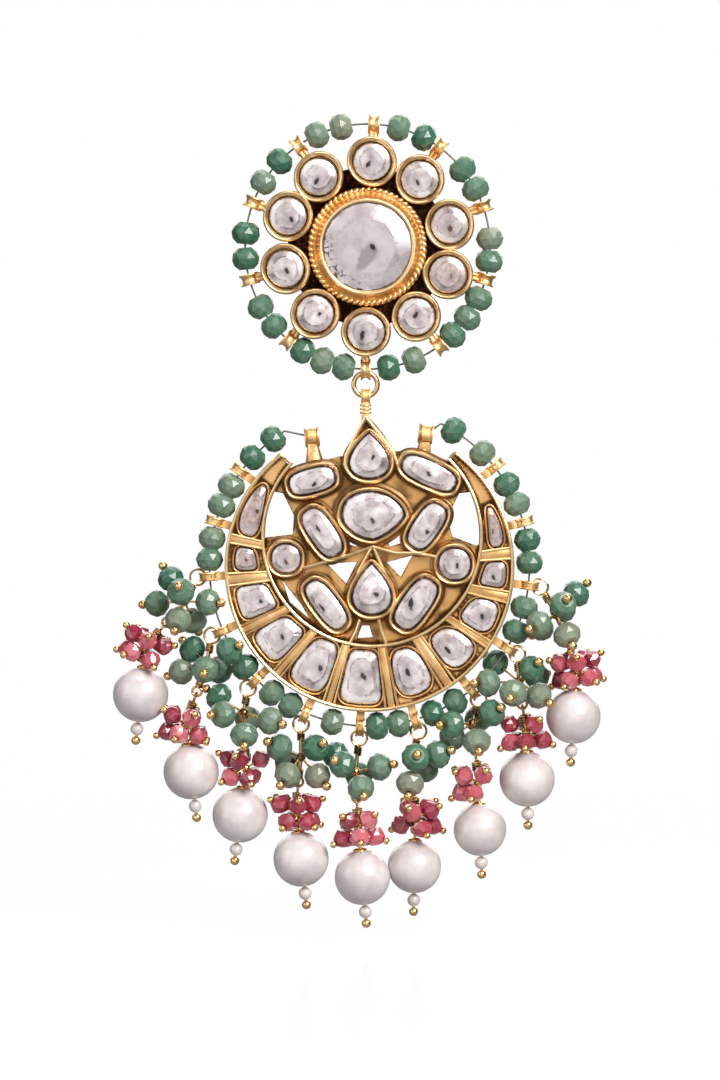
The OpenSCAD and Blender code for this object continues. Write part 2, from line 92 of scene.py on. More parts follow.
# Stud beads: angle on the string and tone from 0, pale and grey, to 1, deep green
STUD_BEADS = (
    (14.7, 0.42), (27.4, 0.95), (50.9, 0.7), (61.8, 0.5), (86.2, 0.12), (96.8, 0.55),
    (114.9, 0.5), (125.4, 0.45), (135.9, 0.62), (157.7, 0.3), (170.1, 0.8),
    (191.2, 0.5), (201.6, 0.25), (212, 0.7), (229.7, 0.6), (240.7, 0.55),
    (264.4, 0.85), (276.3, 0.98), (301.7, 0.35), (314.1, 0.96), (335.6, 0.3), (347.5, 0.1)
)
# Rim beads: the same, round the crescent
RIM_BEADS = (
    (-37, 0.75), (-46.9, 0.9), (-59.6, 0.3), (-67.5, 0.35), (-79.65, 0.3), (-87.45, 0.5),
    (-128.9, 0.8), (-142.3, 0.4), (-150.4, 0.45), (-166.6, 0.25),
    (177.3, 0.75), (169.5, 0.45), (156.7, 0.85), (147.6, 0.7), (113.9, 0.6), (104.8, 0.5),
    (88.5, 0.7), (80.3, 0.9), (66.9, 0.35), (58.9, 0.8), (44.8, 0.3), (31.6, 0.75)
)
PLAIN_EYELET_ANGLES = (-53.5, -73.6, 73.7, 51.4)
STRAND_ANGLES = (-93.5, -113.6, -135, -156.5, -176.6, 163.4, 140.6, 120.6, 96.7)
TOP_POSTS = (Vector((-6, -20.5)), Vector((6.3, -20.3)))

# Stones of the crescent: first and last angle, gold left inside and outside, squareness
CRESCENT_STONES = (
    (-75.5, -52, 0.55, 0.6, 2.6),
    (-91.5, -81, 1.2, 1.1, 3.6),
    (-113.5, -98.5, 0.9, 0.9, 4.6),
    (-136, -119.5, 0.85, 0.95, 4.2),
    (-160, -142, 0.55, 0.75, 3.4),
    (-185.5, -166.5, 0.65, 0.75, 5),
    (-210, -192.5, 0.9, 0.95, 2.7),
    (-234.5, -218, 0.85, 1, 2.7),
    (-254.5, -239.5, 1.1, 0.9, 3),
    (-272.5, -261, 1, 0.9, 4),
    (-297, -279, 1, 0.8, 2.6)
)
# Stones inside the crescent: node, centre x, centre z, tilt, width, height, kind
INNER_STONES = (
    ("top_teardrop_stone", 0.2, -22.5, 0, 4.4, 5, "drop"),
    ("upper_left_stone", -5.97, -25.2, 15, 5.1, 2.6, "oval"),
    ("upper_right_stone", 6.64, -24.4, -25, 6.3, 2.6, "oval"),
    ("center_pear_stone", 0.6, -28.95, 0, 6.8, 5.2, "pear"),
    ("mid_left_stone", -4.9, -30.8, 34, 2.8, 5.9, "oval"),
    ("mid_right_stone", 6.4, -30.1, -34, 2.8, 5.5, "oval"),
    ("left_round_stone", -8.8, -33.6, 0, 3.2, 3.2, "oval"),
    ("right_round_stone", 9.4, -34.2, 0, 3.5, 3.5, "oval"),
    ("lower_teardrop_stone", 0.45, -36.9, 0, 4.3, 5.6, "drop"),
    ("lower_left_stone", -4.45, -38.6, 37, 2.6, 6.1, "oval"),
    ("lower_right_stone", 5.2, -38.5, -35, 3, 6.2, "oval")
)
# Stones whose foil has turned brown, and how much
STAINED_STONES = {
    "stud_center_stone": 0.0, "petal_stone_3": 0.3, "petal_stone_4": 0.55, "crescent_stone_1": 0.7,
    "crescent_stone_2": 0.6, "crescent_stone_10": 0.4, "crescent_stone_11": 0.6,
    "left_round_stone": 0.35, "right_round_stone": 0.25}
LIGHT_STAIN = 0.08
STONE_SIDES = 20
STUD_STONE_BACK = -1.3
DROP_STONE_BACK = -1.6
CENTER_STONE_FRONT = -STUD_DEPTH - 0.35
TABLE_TILT = 0.22
# Strands: centre of the green cluster, of the pink cluster and of the pearl, depth of the
# pink cluster and the pearl, diameter of the pearl, twist of the pink beads
STRANDS = (
    ((-19.8, -38.3), (-24, -43.3), (-24.55, -48.4), -1.55, 6, 20),
    ((-17.4, -45), (-19.7, -51.7), (-19.1, -56.8), -1.55, 6, 0),
    ((-13.4, -50.4), (-13.2, -56.4), (-13.8, -61.5), -1.55, 6, 40),
    ((-7.2, -55.2), (-7.8, -61.2), (-7.2, -66.3), -1.55, 6, 10),
    ((-1.3, -56.8), (-1, -62.9), (-0.55, -68.2), -2.4, 6, 50),
    ((4.9, -55.7), (5.2, -61.9), (5.1, -67.2), -0.7, 5.8, 30),
    ((11.4, -51.5), (12, -58), (12.2, -63.1), -1.55, 5.7, 0),
    ((16.4, -47), (17.2, -52.5), (17.3, -57.6), -1.55, 6, 60),
    ((20.4, -39.7), (22.6, -45.7), (22.3, -50.8), -1.55, 5.9, 15)
)
EACH_STRAND = range(len(STRANDS))
# Green beads of each strand: place from the centre of the cluster
GREEN_OFFSETS = (
    ((-1.5, 0.8, 2.4), (-0.3, -2.6, 1.2), (2.6, -1.6, 0), (-3, 1.1, -0.3), (-0.6, -2.1, -1.9),
     (0.9, 1.6, -2.2)),
    ((-1.6, 1.4, 1.4), (2.5, -2.2, 1.5), (-0.1, -2.6, -0.5), (-2.8, 1.2, -1), (1.3, 2.3, -0.9)),
    ((-2.7, 0.5, 1.7), (-2.2, -2, 0), (2.9, -2.05, -0.7), (0.1, -2.5, -2.2), (0.4, 2.4, -0.9)),
    ((-2.3, -1.5, 1.2), (1.6, -2.4, 1.2), (1.8, -1.5, -1.9), (-1.4, -1.9, -1.8),
     (-1.4, 2.1, -0.9)),
    ((-2.2, 0.6, 1.8), (-1.4, -2.4, 1), (2.6, -0.8, 0.6), (0.6, -2.7, -1.5), (0.4, 2.5, -0.7)),
    ((0.3, -2.6, 0.7), (2.7, -1.2, 0.9), (-0.3, -1.8, -2.2), (1.4, 2.1, -1)),
    ((-2.3, -2, 0), (2, -2.3, 1.3), (0.4, -2.4, -1.8), (-2.2, 1.3, -1.6), (0.6, 2.5, 0.2)),
    ((-2.5, 1.8, 1.9), (-3.4, -1.9, 0), (-0.7, -3.1, -1), (1.3, -2.1, 1.5), (2.1, -1.7, -1.4),
     (2, 2.2, 0.4)),
    ((2.2, 0.4, 2.2), (0.7, -2.3, 1.2), (-1.9, -2.2, -0.9), (1.1, -2.1, -2.1), (0.8, 2.45, 0.4),
     (-1.6, 1.9, -1.6))
)

# Raised gold: walls, wires and bars of the crescent, collars as (distance outside the stone,
# y, darkness of painted shade), and struts between the settings as points of the face
CELL_FLOOR_Y = -2.5
INNER_PLATE_Y = -2.0
STUD_PLATE_Y = -0.9
STUD_CUT_Y = -0.95
WALL_FOOT = CELL_FLOOR_Y + 0.1
WALL_TOP = -3.12
WALL_IN = 0.2
OUTER_WALL_W = 0.4
INNER_WALL_W = 0.38
BAR_MARGIN = 1.0
BAR_END_IN = 0.3
BAR_FRONT = CRESCENT_FRONT - 0.05
BAR_TONE = 0.3
BAR_WIRE_W = 0.32
BAR_WIRE_TOP = WALL_TOP + 0.06
STRUT_W = 0.42
STRUT_FOOT = CELL_FLOOR_Y + 0.05
OUTLINE_STEPS = 56
PETAL_COLLAR = (
    (0.01, -2.6, 1), (0.05, -2.8, 0.75), (0.09, -2.86, 0.15), (0.26, -2.96, 0.1), (0.35, -3.06, 0),
    (0.44, -3.1, 0), (0.53, -3.05, 0), (0.61, -2.88, 0.2), (0.64, -2.3, 0.5), (0.58, -0.4, 0.9))
CENTER_COLLAR = (
    (-0.36, -3.4, 1), (-0.33, -3.6, 0.95), (-0.28, -3.68, 0.4), (-0.14, -3.76, 0.1),
    (-0.02, -3.8, 0), (0.1, -3.76, 0), (0.2, -3.6, 0.1), (0.3, -3.3, 0.35), (0.46, -3.02, 0.4),
    (0.64, -2.84, 0.3), (0.78, -2.7, 0.15), (1.2, -2.5, 0.15), (1.35, -2.3, 0.3), (1.36, -0.4, 0.9))
PEAR_TAPERS = (0.85, 1.1, 1.5, 1.2)
OVAL_FULLNESS = 0.68
CELL_COLLAR = (
    (0, -2.58, 1), (0.07, -2.66, 0.9), (0.12, -2.78, 0.1), (0.2, -2.83, 0), (0.28, -2.76, 0.1),
    (0.34, -2.4, 0.8))
STONE_COLLAR = (
    (0, -2.78, 1), (0.09, -2.85, 0.9), (0.17, -3, 0.45), (0.25, -3.12, 0), (0.34, -3.16, 0),
    (0.43, -3.1, 0), (0.5, -2.94, 0.35), (0.57, -2.75, 0.6))
PLAIN_FOOT = ((0.66, -2.58, 0.8), (0.78, -2.52, 0.9), (0.8, -2.4, 0.9))
PEAR_FOOT = ((0.7, -2.6, 0.8), (1.02, -2.53, 0.9), (1.04, -2.4, 0.9))
CELL_COLLAR_W = 0.3
STONE_COLLAR_W = 0.58
PETAL_COLLAR_W = 0.6
PETAL_PATINA_AND_SHADE_W = 0.66
CRESCENT_PATINA_AND_SHADE_W = 0.1
TIP_ANGLES = (37.2, -38.4)
INNER_TIP_ANGLES = (44, -47)
INNER_SHADE_ANGLES = (44, 316)
STRUTS = (
    ((0.56, -32.3), (-1.9, -33.2), (-4.4, -33.9), (-6.9, -34.6)),
    ((0.56, -32.3), (3, -33), (5.2, -33), (7.4, -33.4)),
    ((-1.15, -35.5), (-0.75, -34.6), (-0.1, -33.4), (0.5, -32.3)),
    ((2.05, -35.5), (1.6, -34.6), (1.1, -33.5), (0.6, -32.3)),
    ((-0.15, -18.3), (-1.2, -20.2), (-2.3, -22.4), (-2.45, -23.4), (-2.05, -24.4)),
    ((-0.25, -18.3), (1.4, -20.3), (2.8, -22.2), (3.3, -23.6)),
    ((-9.4, -22.4), (-8.75, -22.75), (-8.2, -23.3)),
    ((9.6, -22.2), (9.2, -22.35), (8.75, -22.8)),
    ((-0.8, -40.2), (-1.2, -41.4), (-1.9, -42.8)),
    ((1.2, -40.2), (1.5, -41.4), (2, -42.8))
)
ROPE_Y = ROPE_STEP_Y - 0.1
ROPE_TURNS = 62
ROPE_BEAD = (0.25, 0.32, 0.46)
ROPE_LEAN = 48
STUD_EYE_Z = -13.25
DROP_EYE_Z = -16.135
# Eyelets: width, radius of the barrel and length of the neck
STUD_EYELET = (1.15, 0.92, 1.9)
STUD_EYE = (1.0, 1.02, 1.9)
RIM_EYELET = (0.85, 0.98, 2.1)
TOP_POST_EYELET = (1.5, 0.97, 3.1)
DROP_EYE = (0.9, 0.8, 3)
# Eyelets of the two posts at the top: lean in degrees and rise
TOP_POST_LEANS = ((-6, 0), (7, 0.15))
POST_FOOT_L = 2.2
NECK_Z = (-17.1, -17.5, -17.9)
NECK_R = 0.93
NECK_WIRE_D = 0.24
# Tones that mark the front of a casting, which takes patina and painted shade by its depth, and the
# rest of it
CAST = -1.0
PLAIN = 0.1
PATINA_AND_SHADE_Y = -0.8
POST_CLEAN_R = 1.5

# Cluster metal
HUB_D = 1.1
PIN_D = 0.24
BALL_D = 1.0
END_GAP = 0.1
HANGER_R = 0.85
HANGER_WIRE_D = 0.26
HANGER_IN = 0.34
STEM_D = 0.44
LOOP_R = 0.5
LOOP_WIRE_D = 0.3
LOOP_APART = 0.6
SMALL_LOOP_R = 0.42
SMALL_LOOP_WIRE_D = 0.26
SMALL_LOOP_DROP = 0.85
SMALL_LOOP_APART = 0.48
SMALL_STEM_D = 0.34
PINK_REACH = 2.1
PINK_TILT = radians(26.6)
PINK_PER_RING = 5
PINK_BALL_D = 0.7
PINK_PIN_D = 0.22
PINK_HUB_D = 1.0
PINK_TIP = PINK_REACH + PINK_L / 2 + END_GAP / 2 + PINK_BALL_D / 2
PEARL_GAP = 0.06
END_BALL_D = 1.0
PEARL_CAP_D = 1.5

# Studio, in metres
FLOOR_R = 0.36
FLOOR_BELOW = 0.002
VIEW_BELOW = 0.002
VIEW_DISTANCE = 0.6
VIEW_LENS = 185
VIEW_RISE = radians(3)
# Lights: name, place from the middle of the earring, width, height, watts
LIGHTS = (
    ("key_light", (0.34, -0.5, 0.36), 0.34, 0.34, 6),
    ("front_light", (-0.1, -1, 0.1), 1.3, 1.3, 4.1),
    ("side_light", (-0.6, -0.3, 0.15), 0.4, 0.6, 1),
    ("top_light", (0.05, -0.05, 0.65), 0.5, 0.3, 1.6),
    ("back_light", (0, 0.6, 0.35), 0.9, 0.7, 3.5)
)


def clock(angle):
    turn = radians(angle)
    return Vector((sin(turn), cos(turn)))


def on_face(place, y):
    return Vector((place[0], y, place[1]))


def power(value, exponent):
    return copysign(abs(value) ** exponent, value)


def at(place):
    return Matrix.Translation(place)


def sized(x, y, z):
    return Matrix.Diagonal((x, y, z, 1))


def aimed(place, direction, spin=0.0, axis="Z"):
    """Matrix that puts a shape at a place with one of its axes along a direction."""
    turn = Vector(direction).to_track_quat(axis, "Y").to_matrix().to_4x4()
    return at(place) @ turn @ Matrix.Rotation(spin, 4, "Z")


def face_turn(angle):
    """Matrix that turns a shape clockwise on the face."""
    return Matrix.Rotation(radians(angle), 4, "Y")


# Places worked out from the tables, as in the construction

def green_hub(i):
    return on_face(STRANDS[i][0], MID_Y)


def pink_hub(i):
    return on_face(STRANDS[i][1], STRANDS[i][3])


def pearl_center(i):
    return on_face(STRANDS[i][2], STRANDS[i][3])


def hanger_center(i):
    reach = RIM_EYELET_R + HANGER_IN + HANGER_R
    return on_face(CRESCENT_C + reach * clock(STRAND_ANGLES[i]), MID_Y)


def pink_room(i, place):
    near_pearl = min((place - pearl_center(j)).length - STRANDS[j][4] / 2 for j in EACH_STRAND)
    near_green = min(
        (place - green_hub(j) - Vector(p)).length - BEAD_D / 2
        for j in EACH_STRAND for p in GREEN_OFFSETS[j])
    own = (place - pink_hub(i)).length
    near_pink = min(((place - pink_hub(j)).length - own) / 2 for j in EACH_STRAND if j != i)
    return min(near_pearl, near_green, near_pink)


def pink_directions(i):
    to_green = (green_hub(i) - pink_hub(i)).normalized()
    from_pearl = (pink_hub(i) - pearl_center(i)).normalized()
    axis = (to_green + from_pearl).normalized()
    side = axis.cross(TO_THE_BACK).normalized()
    front = side.cross(axis)
    flat = cos(PINK_TILT)
    found = []
    for half in (1, -1):
        for k in range(PINK_PER_RING):
            a = radians(STRANDS[i][5] + 360 / PINK_PER_RING * (k + (half + 1) / 4))
            v = flat * cos(a) * side + flat * sin(a) * front
            v += half * sin(PINK_TILT) * axis
            bead_room = pink_room(i, pink_hub(i) + PINK_REACH * v)
            ball_room = pink_room(i, pink_hub(i) + PINK_TIP * v)
            if bead_room > PINK_D / 2 + END_GAP and ball_room > PINK_BALL_D / 2 + END_GAP:
                found.append(v)
    return found


def inner_reach(angle):
    """Distance from the crescent's centre to its inner edge at an angle."""
    d = INNER_C - CRESCENT_C
    along = d.dot(clock(angle))
    return along + sqrt(along * along - d.length_squared + INNER_R * INNER_R)


def cell_point(row, t):
    """Point of the outline of a crescent stone at t from 0 to 1 round it."""
    across = power(cos(tau * t), 2 / row[4])
    out = power(sin(tau * t), 2 / row[4])
    angle = (row[0] + row[1]) / 2 + across * (row[1] - row[0]) / 2
    inner = inner_reach(angle) + row[2]
    outer = CRESCENT_R - row[3]
    return CRESCENT_C + ((inner + outer) / 2 + out * (outer - inner) / 2) * clock(angle)


def inner_point(row, t):
    """Point of the outline of a stone inside the crescent."""
    name, x, z, tilt, w, h, kind = row
    a = tau * t
    if kind == "drop":
        point = Vector((-w * 0.65 * sin(a) * sin(a / 2), h / 2 * cos(a)))
    else:
        e = 0.9 if w == h else OVAL_FULLNESS
        if kind == "pear":
            e = PEAR_TAPERS[int(t * 4)]
        point = Vector((w / 2 * power(-sin(a), e), h / 2 * power(cos(a), e)))
    point.rotate(Matrix.Rotation(radians(tilt), 2))
    return Vector((x, z)) + point


def round_point(row, t):
    """Point of the outline of a round stone, from its centre and diameter."""
    center, diameter = row
    return center + diameter / 2 * Vector((cos(tau * t), sin(tau * t)))


def outline(point_of, row, steps=OUTLINE_STEPS):
    return [point_of(row, k / steps) for k in range(steps)]


def circle_points(center, radius):
    return [center + radius * clock(360 * k / OUTLINE_STEPS) for k in range(OUTLINE_STEPS)]


# Shader maths

def operator(operation, turned=False):
    """A method of Value that works out one sum, with its terms turned round where asked."""
    def method(*terms):
        terms = terms[::-1] if turned else terms
        tree = next(term.tree for term in terms if isinstance(term, Value))
        return new_node(tree, "ShaderNodeMath", {"operation": operation}, dict(enumerate(terms)))
    return method


class Value:
    """An output of a node that takes part in sums."""

    __add__ = __radd__ = operator("ADD")
    __mul__ = __rmul__ = operator("MULTIPLY")
    __sub__ = operator("SUBTRACT")
    __rsub__ = operator("SUBTRACT", turned=True)
    __truediv__ = operator("DIVIDE")
    __pow__ = operator("POWER")
    sine = operator("SINE")

    def __init__(self, tree, socket):
        self.tree = tree
        self.socket = socket

    def step(self, low, high):
        """0 below low, 1 above high and a soft step between, or the other way round."""
        return new_node(
            self.tree, "ShaderNodeMapRange", {"interpolation_type": "SMOOTHSTEP"},
            {"Value": self, "From Min": low, "From Max": high})

    def mix(self, first, second):
        """A share of this size of the second colour in the first."""
        inputs = {0: self}
        for label, color in ((6, first), (7, second)):
            inputs[label] = color if isinstance(color, Value) else (*color, 1)
        return new_node(self.tree, "ShaderNodeMix", {"data_type": "RGBA"}, inputs, 2)

    def tinted(self, *layers):
        """This colour with others laid over it in turn, each as (share, colour)."""
        color = self
        for share, tint in layers:
            color = share.mix(color, tint)
        return color

    def ramp(self, *stops):
        """Colours between stops of (place, colour)."""
        color = new_node(self.tree, "ShaderNodeValToRGB", inputs={"Fac": self})
        elements = color.socket.node.color_ramp.elements
        while len(elements) < len(stops):
            elements.new(0.5)
        for element, (place, tint) in zip(elements, stops):
            element.position = place
            element.color = (*tint, 1)
        return color

    def axis(self, letter):
        return new_node(
            self.tree, "ShaderNodeSeparateXYZ", inputs={0: self}, output="XYZ".index(letter))

    def length(self):
        settings = {"operation": "LENGTH"}
        return new_node(self.tree, "ShaderNodeVectorMath", settings, {0: self}, "Value")


def new_node(tree, kind, settings=None, inputs=None, output=0):
    """A node with its settings and inputs, as the value of one of its outputs."""
    node = tree.nodes.new(kind)
    for label, value in (settings or {}).items():
        setattr(node, label, value)
    for label, value in (inputs or {}).items():
        if isinstance(value, Value):
            tree.links.new(value.socket, node.inputs[label])
        else:
            node.inputs[label].default_value = value
    return Value(tree, node.outputs[output])


def surface(tree, kind, shader):
    """Feeds a shader to a new output node of its tree."""
    tree.links.new(shader.socket, tree.nodes.new(kind).inputs["Surface"])


class Finish:
    """A material with one Principled shader and short calls for its other nodes."""

    def __init__(self, name, **constants):
        self.material = bpy.data.materials.new(name)
        self.material.use_nodes = True
        self.tree = self.material.node_tree
        self.tree.nodes.clear()
        self.shader = self.node("ShaderNodeBsdfPrincipled", inputs={
            label.replace("_", " "): value for label, value in constants.items()})
        surface(self.tree, "ShaderNodeOutputMaterial", self.shader)
        self.place = self.node("ShaderNodeTexCoord", output="Object")

    def node(self, kind, *rest, **named):
        return new_node(self.tree, kind, *rest, **named)

    def feed(self, label, value):
        self.tree.links.new(value.socket, self.shader.socket.node.inputs[label])

    def attribute(self, name, output="Fac"):
        return self.node("ShaderNodeAttribute", {"attribute_name": name}, output=output)

    def noise(self, scale, detail, roughness=0.5):
        return self.node("ShaderNodeTexNoise", inputs={
            "Vector": self.place, "Scale": scale, "Detail": detail, "Roughness": roughness})

    def bump(self, height, strength, distance):
        self.feed("Normal", self.node("ShaderNodeBump", inputs={
            "Height": height, "Strength": strength, "Distance": distance}))

    def dressed(self, color, roughness):
        """The material, once its colour and roughness are fed."""
        self.feed("Base Color", color)
        self.feed("Roughness", roughness)
        return self.material


def satin_gold():
    """Hand-finished gold with orange-brown shade where it lies deep between the stones.

    Depths are in metres from the seat. The crests of the gold lie at about -0.0031.
    """
    finish = Finish("satin_gold", Metallic=1.0, Coat_Roughness=0.12)
    cloudy = finish.noise(420, 4, 0.6)
    fine = finish.noise(2600, 3, 0.6)
    spread = finish.noise(330, 2)
    depth = finish.place.axis("Y")
    tone = finish.attribute("tone")
    soot = finish.attribute("soot")
    cast = tone.step(-0.1, -0.9) * depth.step(-0.0003, -0.0005)
    painted_crest_highlight = depth.step(-0.0029, -0.00308)
    floor = depth.step(-0.003, -0.0027)
    low = depth.step(-0.0026, -0.0019) * cast
    deep = depth.step(-0.0018, -0.001) * cast
    # painted shade and patina: brown, then near black, towards the gold that stands on the flat
    # fronts and at the edges of their openings
    crevice_shade_and_patina = soot + 0.9 * (spread - 0.5)
    # painted shade: near-black blotches where the tone is high
    dark_shade_blotches = tone.step(0.5, 1) * spread.step(0.3, 0.52)
    # painted shade with some oxide: near black for the deepest plates
    deep_shade_and_oxide = fine.step(0.5, 0.68).mix((0.01, 0.004, 0.003), (0.09, 0.03, 0.012))
    gilt = cloudy.ramp(
        (0.3, (0.7, 0.38, 0.14)), (0.5, (0.93, 0.61, 0.27)), (0.68, (1, 0.75, 0.41)))
    color = gilt.tinted(
        # painted shade: the casting's front at the recessed cell floors turns darker orange-brown
        (floor * cast * 0.7, (0.62, 0.33, 0.12)),
        # painted shade: the lower plates of the casting darker orange-brown, with near-black
        # patches of shade and patina
        (low * 0.55, (0.58, 0.31, 0.1)),
        (low * spread.step(0.48, 0.62) * 0.75, (0.1, 0.04, 0.012)),
        (crevice_shade_and_patina.step(0.2, 0.8) * 0.85, (0.17, 0.065, 0.018)),
        (crevice_shade_and_patina.step(0.5, 0.9) * 0.85, (0.03, 0.012, 0.006)),
        (deep * 0.97, deep_shade_and_oxide),
        # painted highlight: paler gold on the front-most crests
        (painted_crest_highlight * 0.6, (1, 0.75, 0.42)),
        # painted shade by tone: orange-brown on the collars' slopes and feet, and on the bars
        (tone.step(0, 0.6) * 0.8, (0.42, 0.19, 0.06)),
        (dark_shade_blotches * 0.95, (0.035, 0.015, 0.008)))
    finish.feed("Coat Weight", 0.15 * (1 - soot.step(0.1, 0.6)) * (1 - deep))
    finish.bump(spread * 1.6 + cloudy * 0.7 + fine * 0.25, 0.55, 0.0001)
    return finish.dressed(color, 0.24 + 0.2 * cloudy + 0.1 * floor)


def bright_gold():
    """Polished gold of pins, balls and rings, a little redder in patches, darkened by its tone with
    tarnish and painted shade.
    """
    finish = Finish("bright_gold", Metallic=1.0)
    cloudy = finish.noise(900, 3, 0.6)
    gilt = cloudy.ramp(
        (0.3, (0.74, 0.4, 0.14)), (0.5, (0.9, 0.58, 0.25)), (0.7, (1, 0.72, 0.36)))
    # tarnish and painted shade: dark patches where the tone is high
    tarnish_and_shade = finish.attribute("tone") * finish.noise(1500, 2).step(0.36, 0.56)
    finish.bump(cloudy, 0.2, 0.00003)
    return finish.dressed(tarnish_and_shade.mix(gilt, (0.07, 0.028, 0.012)), 0.14 + 0.16 * cloudy)


def foil_stone():
    """Uncut polki stone on silver foil: rose grey, with a dark heart and brown edges."""
    finish = Finish("foil_backed_stone", Metallic=0.6, Coat_Roughness=0.03, Coat_IOR=1.6)
    across = finish.node("ShaderNodeTexCoord", output="UV")
    x = across.axis("X")
    y = across.axis("Y")
    from_middle = (x * x + y * y) ** 0.5
    tone = finish.attribute("tone")
    heart = finish.attribute("heart")
    patches = finish.noise(620, 3, 0.55)
    flecks = finish.noise(2100, 3, 0.6)
    broad = finish.noise(300, 1)
    broad_stone = heart.step(0.24, 0.18)
    # painted highlight: near-white patches towards the stone's edge
    painted_gleam = from_middle.step(0.55, 0.72) * broad.step(0.5, 0.6)
    off_ring = (from_middle + 0.24 * patches - 0.78) ** 2
    ring = off_ring.step(0.004, 0.0005) * flecks.step(0.42, 0.55)
    specks = flecks.step(0.5, 0.6) * (x * 0.8 + y * 0.6).step(-0.3, -0.7)
    specks = specks * from_middle.step(0.66, 0.8) * broad_stone
    lean = (tone * 43).sine() * 0.75
    aside = x - 0.5 * tone + 0.25
    below = y + 0.08 + 0.16 * (tone * 29).sine()
    across_slit = (aside + below * lean) * 2.2
    along_slit = (below - aside * lean) * (0.8 + 0.7 * tone)
    uneven = flecks * 1.3 + patches * 0.9 - 1.1
    from_heart = (across_slit * across_slit + along_slit * along_slit) ** 0.5 / heart + uneven
    slit = from_heart.step(1.05, 0.6)
    smudge = (aside - 0.5 * below + 0.02) ** 2 * 24 + (below + 0.2) ** 2 * 9 + (patches - 0.5) * 2
    edge = (from_middle + 0.3 * flecks).step(1.05, 1.16)
    stained = finish.attribute("soot") * (patches + 0.5 * (broad - 0.5)).step(0.36, 0.58)
    brown = flecks.step(0.42, 0.6).mix((0.2, 0.09, 0.055), (0.5, 0.3, 0.22))
    foil = patches.ramp(
        (0.32, (0.4, 0.32, 0.32)), (0.48, (0.62, 0.53, 0.53)), (0.64, (0.84, 0.78, 0.77)))
    color = foil.tinted(
        (painted_gleam * 0.7, (0.96, 0.92, 0.91)),
        (ring * 0.6, (0.2, 0.13, 0.13)),
        (broad_stone * from_middle.step(1, 0.8) * 0.7, (0.52, 0.44, 0.45)),
        (specks * 0.9, (0.05, 0.025, 0.02)),
        (smudge.step(1, 0.4) * broad_stone * 0.8, (0.28, 0.23, 0.24)),
        (from_heart.step(2.6, 0.9) * 0.4, (0.22, 0.17, 0.18)),
        (slit * 0.95, (0.012, 0.008, 0.01)),
        (edge * 0.9, (0.12, 0.05, 0.03)),
        (stained, brown))
    finish.feed("Coat Weight", 1 - 0.85 * slit)
    finish.bump(patches * 0.7 + flecks * 0.3, 0.5, 0.0001)
    return finish.dressed(color, 0.16 + 0.24 * patches)


def green_quartz():
    """Translucent green stone, from pale and grey to deep jade by the bead's tone."""
    finish = Finish(
        "green_quartz", Transmission_Weight=0.16, IOR=1.54, Coat_Weight=0.2, Coat_Roughness=0.1,
        Subsurface_Weight=0.12, Subsurface_Scale=0.0006)
    veins = finish.noise(900, 4, 0.6)
    from_axis = finish.attribute("inside", "Vector").length()
    jade = finish.attribute("tone").ramp(
        (0.0, (0.31, 0.32, 0.23)), (0.3, (0.2, 0.28, 0.19)),
        (0.6, (0.1, 0.22, 0.14)), (1.0, (0.03, 0.14, 0.08)))
    color = jade.tinted(
        (veins.step(0.45, 0.75) * 0.35, (0.36, 0.46, 0.33)),
        # painted shade: darker towards the girdle, for the dark outline of the glass
        (from_axis.step(0.75, 1.15) * 0.45, (0.008, 0.05, 0.028)))
    return finish.dressed(color, 0.2 + 0.2 * veins)


def pink_stone():
    """Clear raspberry stone of the small beads."""
    finish = Finish(
        "pink_tourmaline", Transmission_Weight=0.4, IOR=1.62, Coat_Weight=0.6,
        Coat_Roughness=0.04)
    clouds = finish.noise(1400, 3, 0.6)
    raspberry = finish.attribute("tone").ramp(
        (0.0, (0.86, 0.22, 0.27)), (0.5, (0.66, 0.08, 0.13)),
        (1.0, (0.36, 0.02, 0.06)))
    color = raspberry.tinted((clouds.step(0.5, 0.75) * 0.35, (0.96, 0.42, 0.44)))
    return finish.dressed(color, 0.08 + 0.14 * clouds)


def pearl_nacre():
    """Cream pearl with a soft rose and grey lustre."""
    finish = Finish(
        "pearl_nacre", Coat_Weight=0.7, Coat_Roughness=0.16, Coat_IOR=1.7, IOR=1.6,
        Subsurface_Weight=0.2, Subsurface_Scale=0.0012, Sheen_Weight=0.15)
    clouds = finish.noise(260, 2)
    grain = finish.noise(1700, 3)
    color = (clouds * 0.8 + grain * 0.2).ramp(
        (0.32, (0.52, 0.45, 0.45)), (0.5, (0.65, 0.58, 0.57)),
        (0.68, (0.76, 0.7, 0.68)))
    finish.bump(grain, 0.08, 0.00003)
    return finish.dressed(color, 0.26 + 0.12 * grain)


def dark_thread():
    """Thin grey nylon thread."""
    finish = Finish("dark_thread")
    strands = finish.noise(5200, 2, 0.6)
    color = strands.ramp((0.35, (0.06, 0.055, 0.05)), (0.65, (0.2, 0.18, 0.16)))
    return finish.dressed(color, 0.4 + 0.2 * strands)


# Shapes

def new_shape():
    bm = bmesh.new()
    bm.verts.layers.float.new("tone")
    # The second layer paints shade and patina on gold, and holds the brown stain of a stone's foil.
    bm.verts.layers.float.new("soot")
    return bm


def stamp(bm, shape, place=Matrix(), tone=None):
    """Adds a copy of a finished shape at a place, with its own tone where one is given."""
    copy = shape.copy()
    copy.transform(place)
    if tone is not None:
        layer = copy.attributes["tone"]
        layer.data.foreach_set("value", [tone] * len(copy.vertices))
    bm.from_mesh(copy)
    bpy.data.meshes.remove(copy)


def kept(bm, name):
    """A shape that is stamped many times, as mesh data."""
    bmesh.ops.recalc_face_normals(bm, faces=bm.faces[:])
    mesh = bpy.data.meshes.new(name)
    bm.to_mesh(mesh)
    bm.free()
    return mesh


def added(name, data):
    """A new object in the scene."""
    thing = bpy.data.objects.new(name, data)
    bpy.context.scene.collection.objects.link(thing)
    return thing


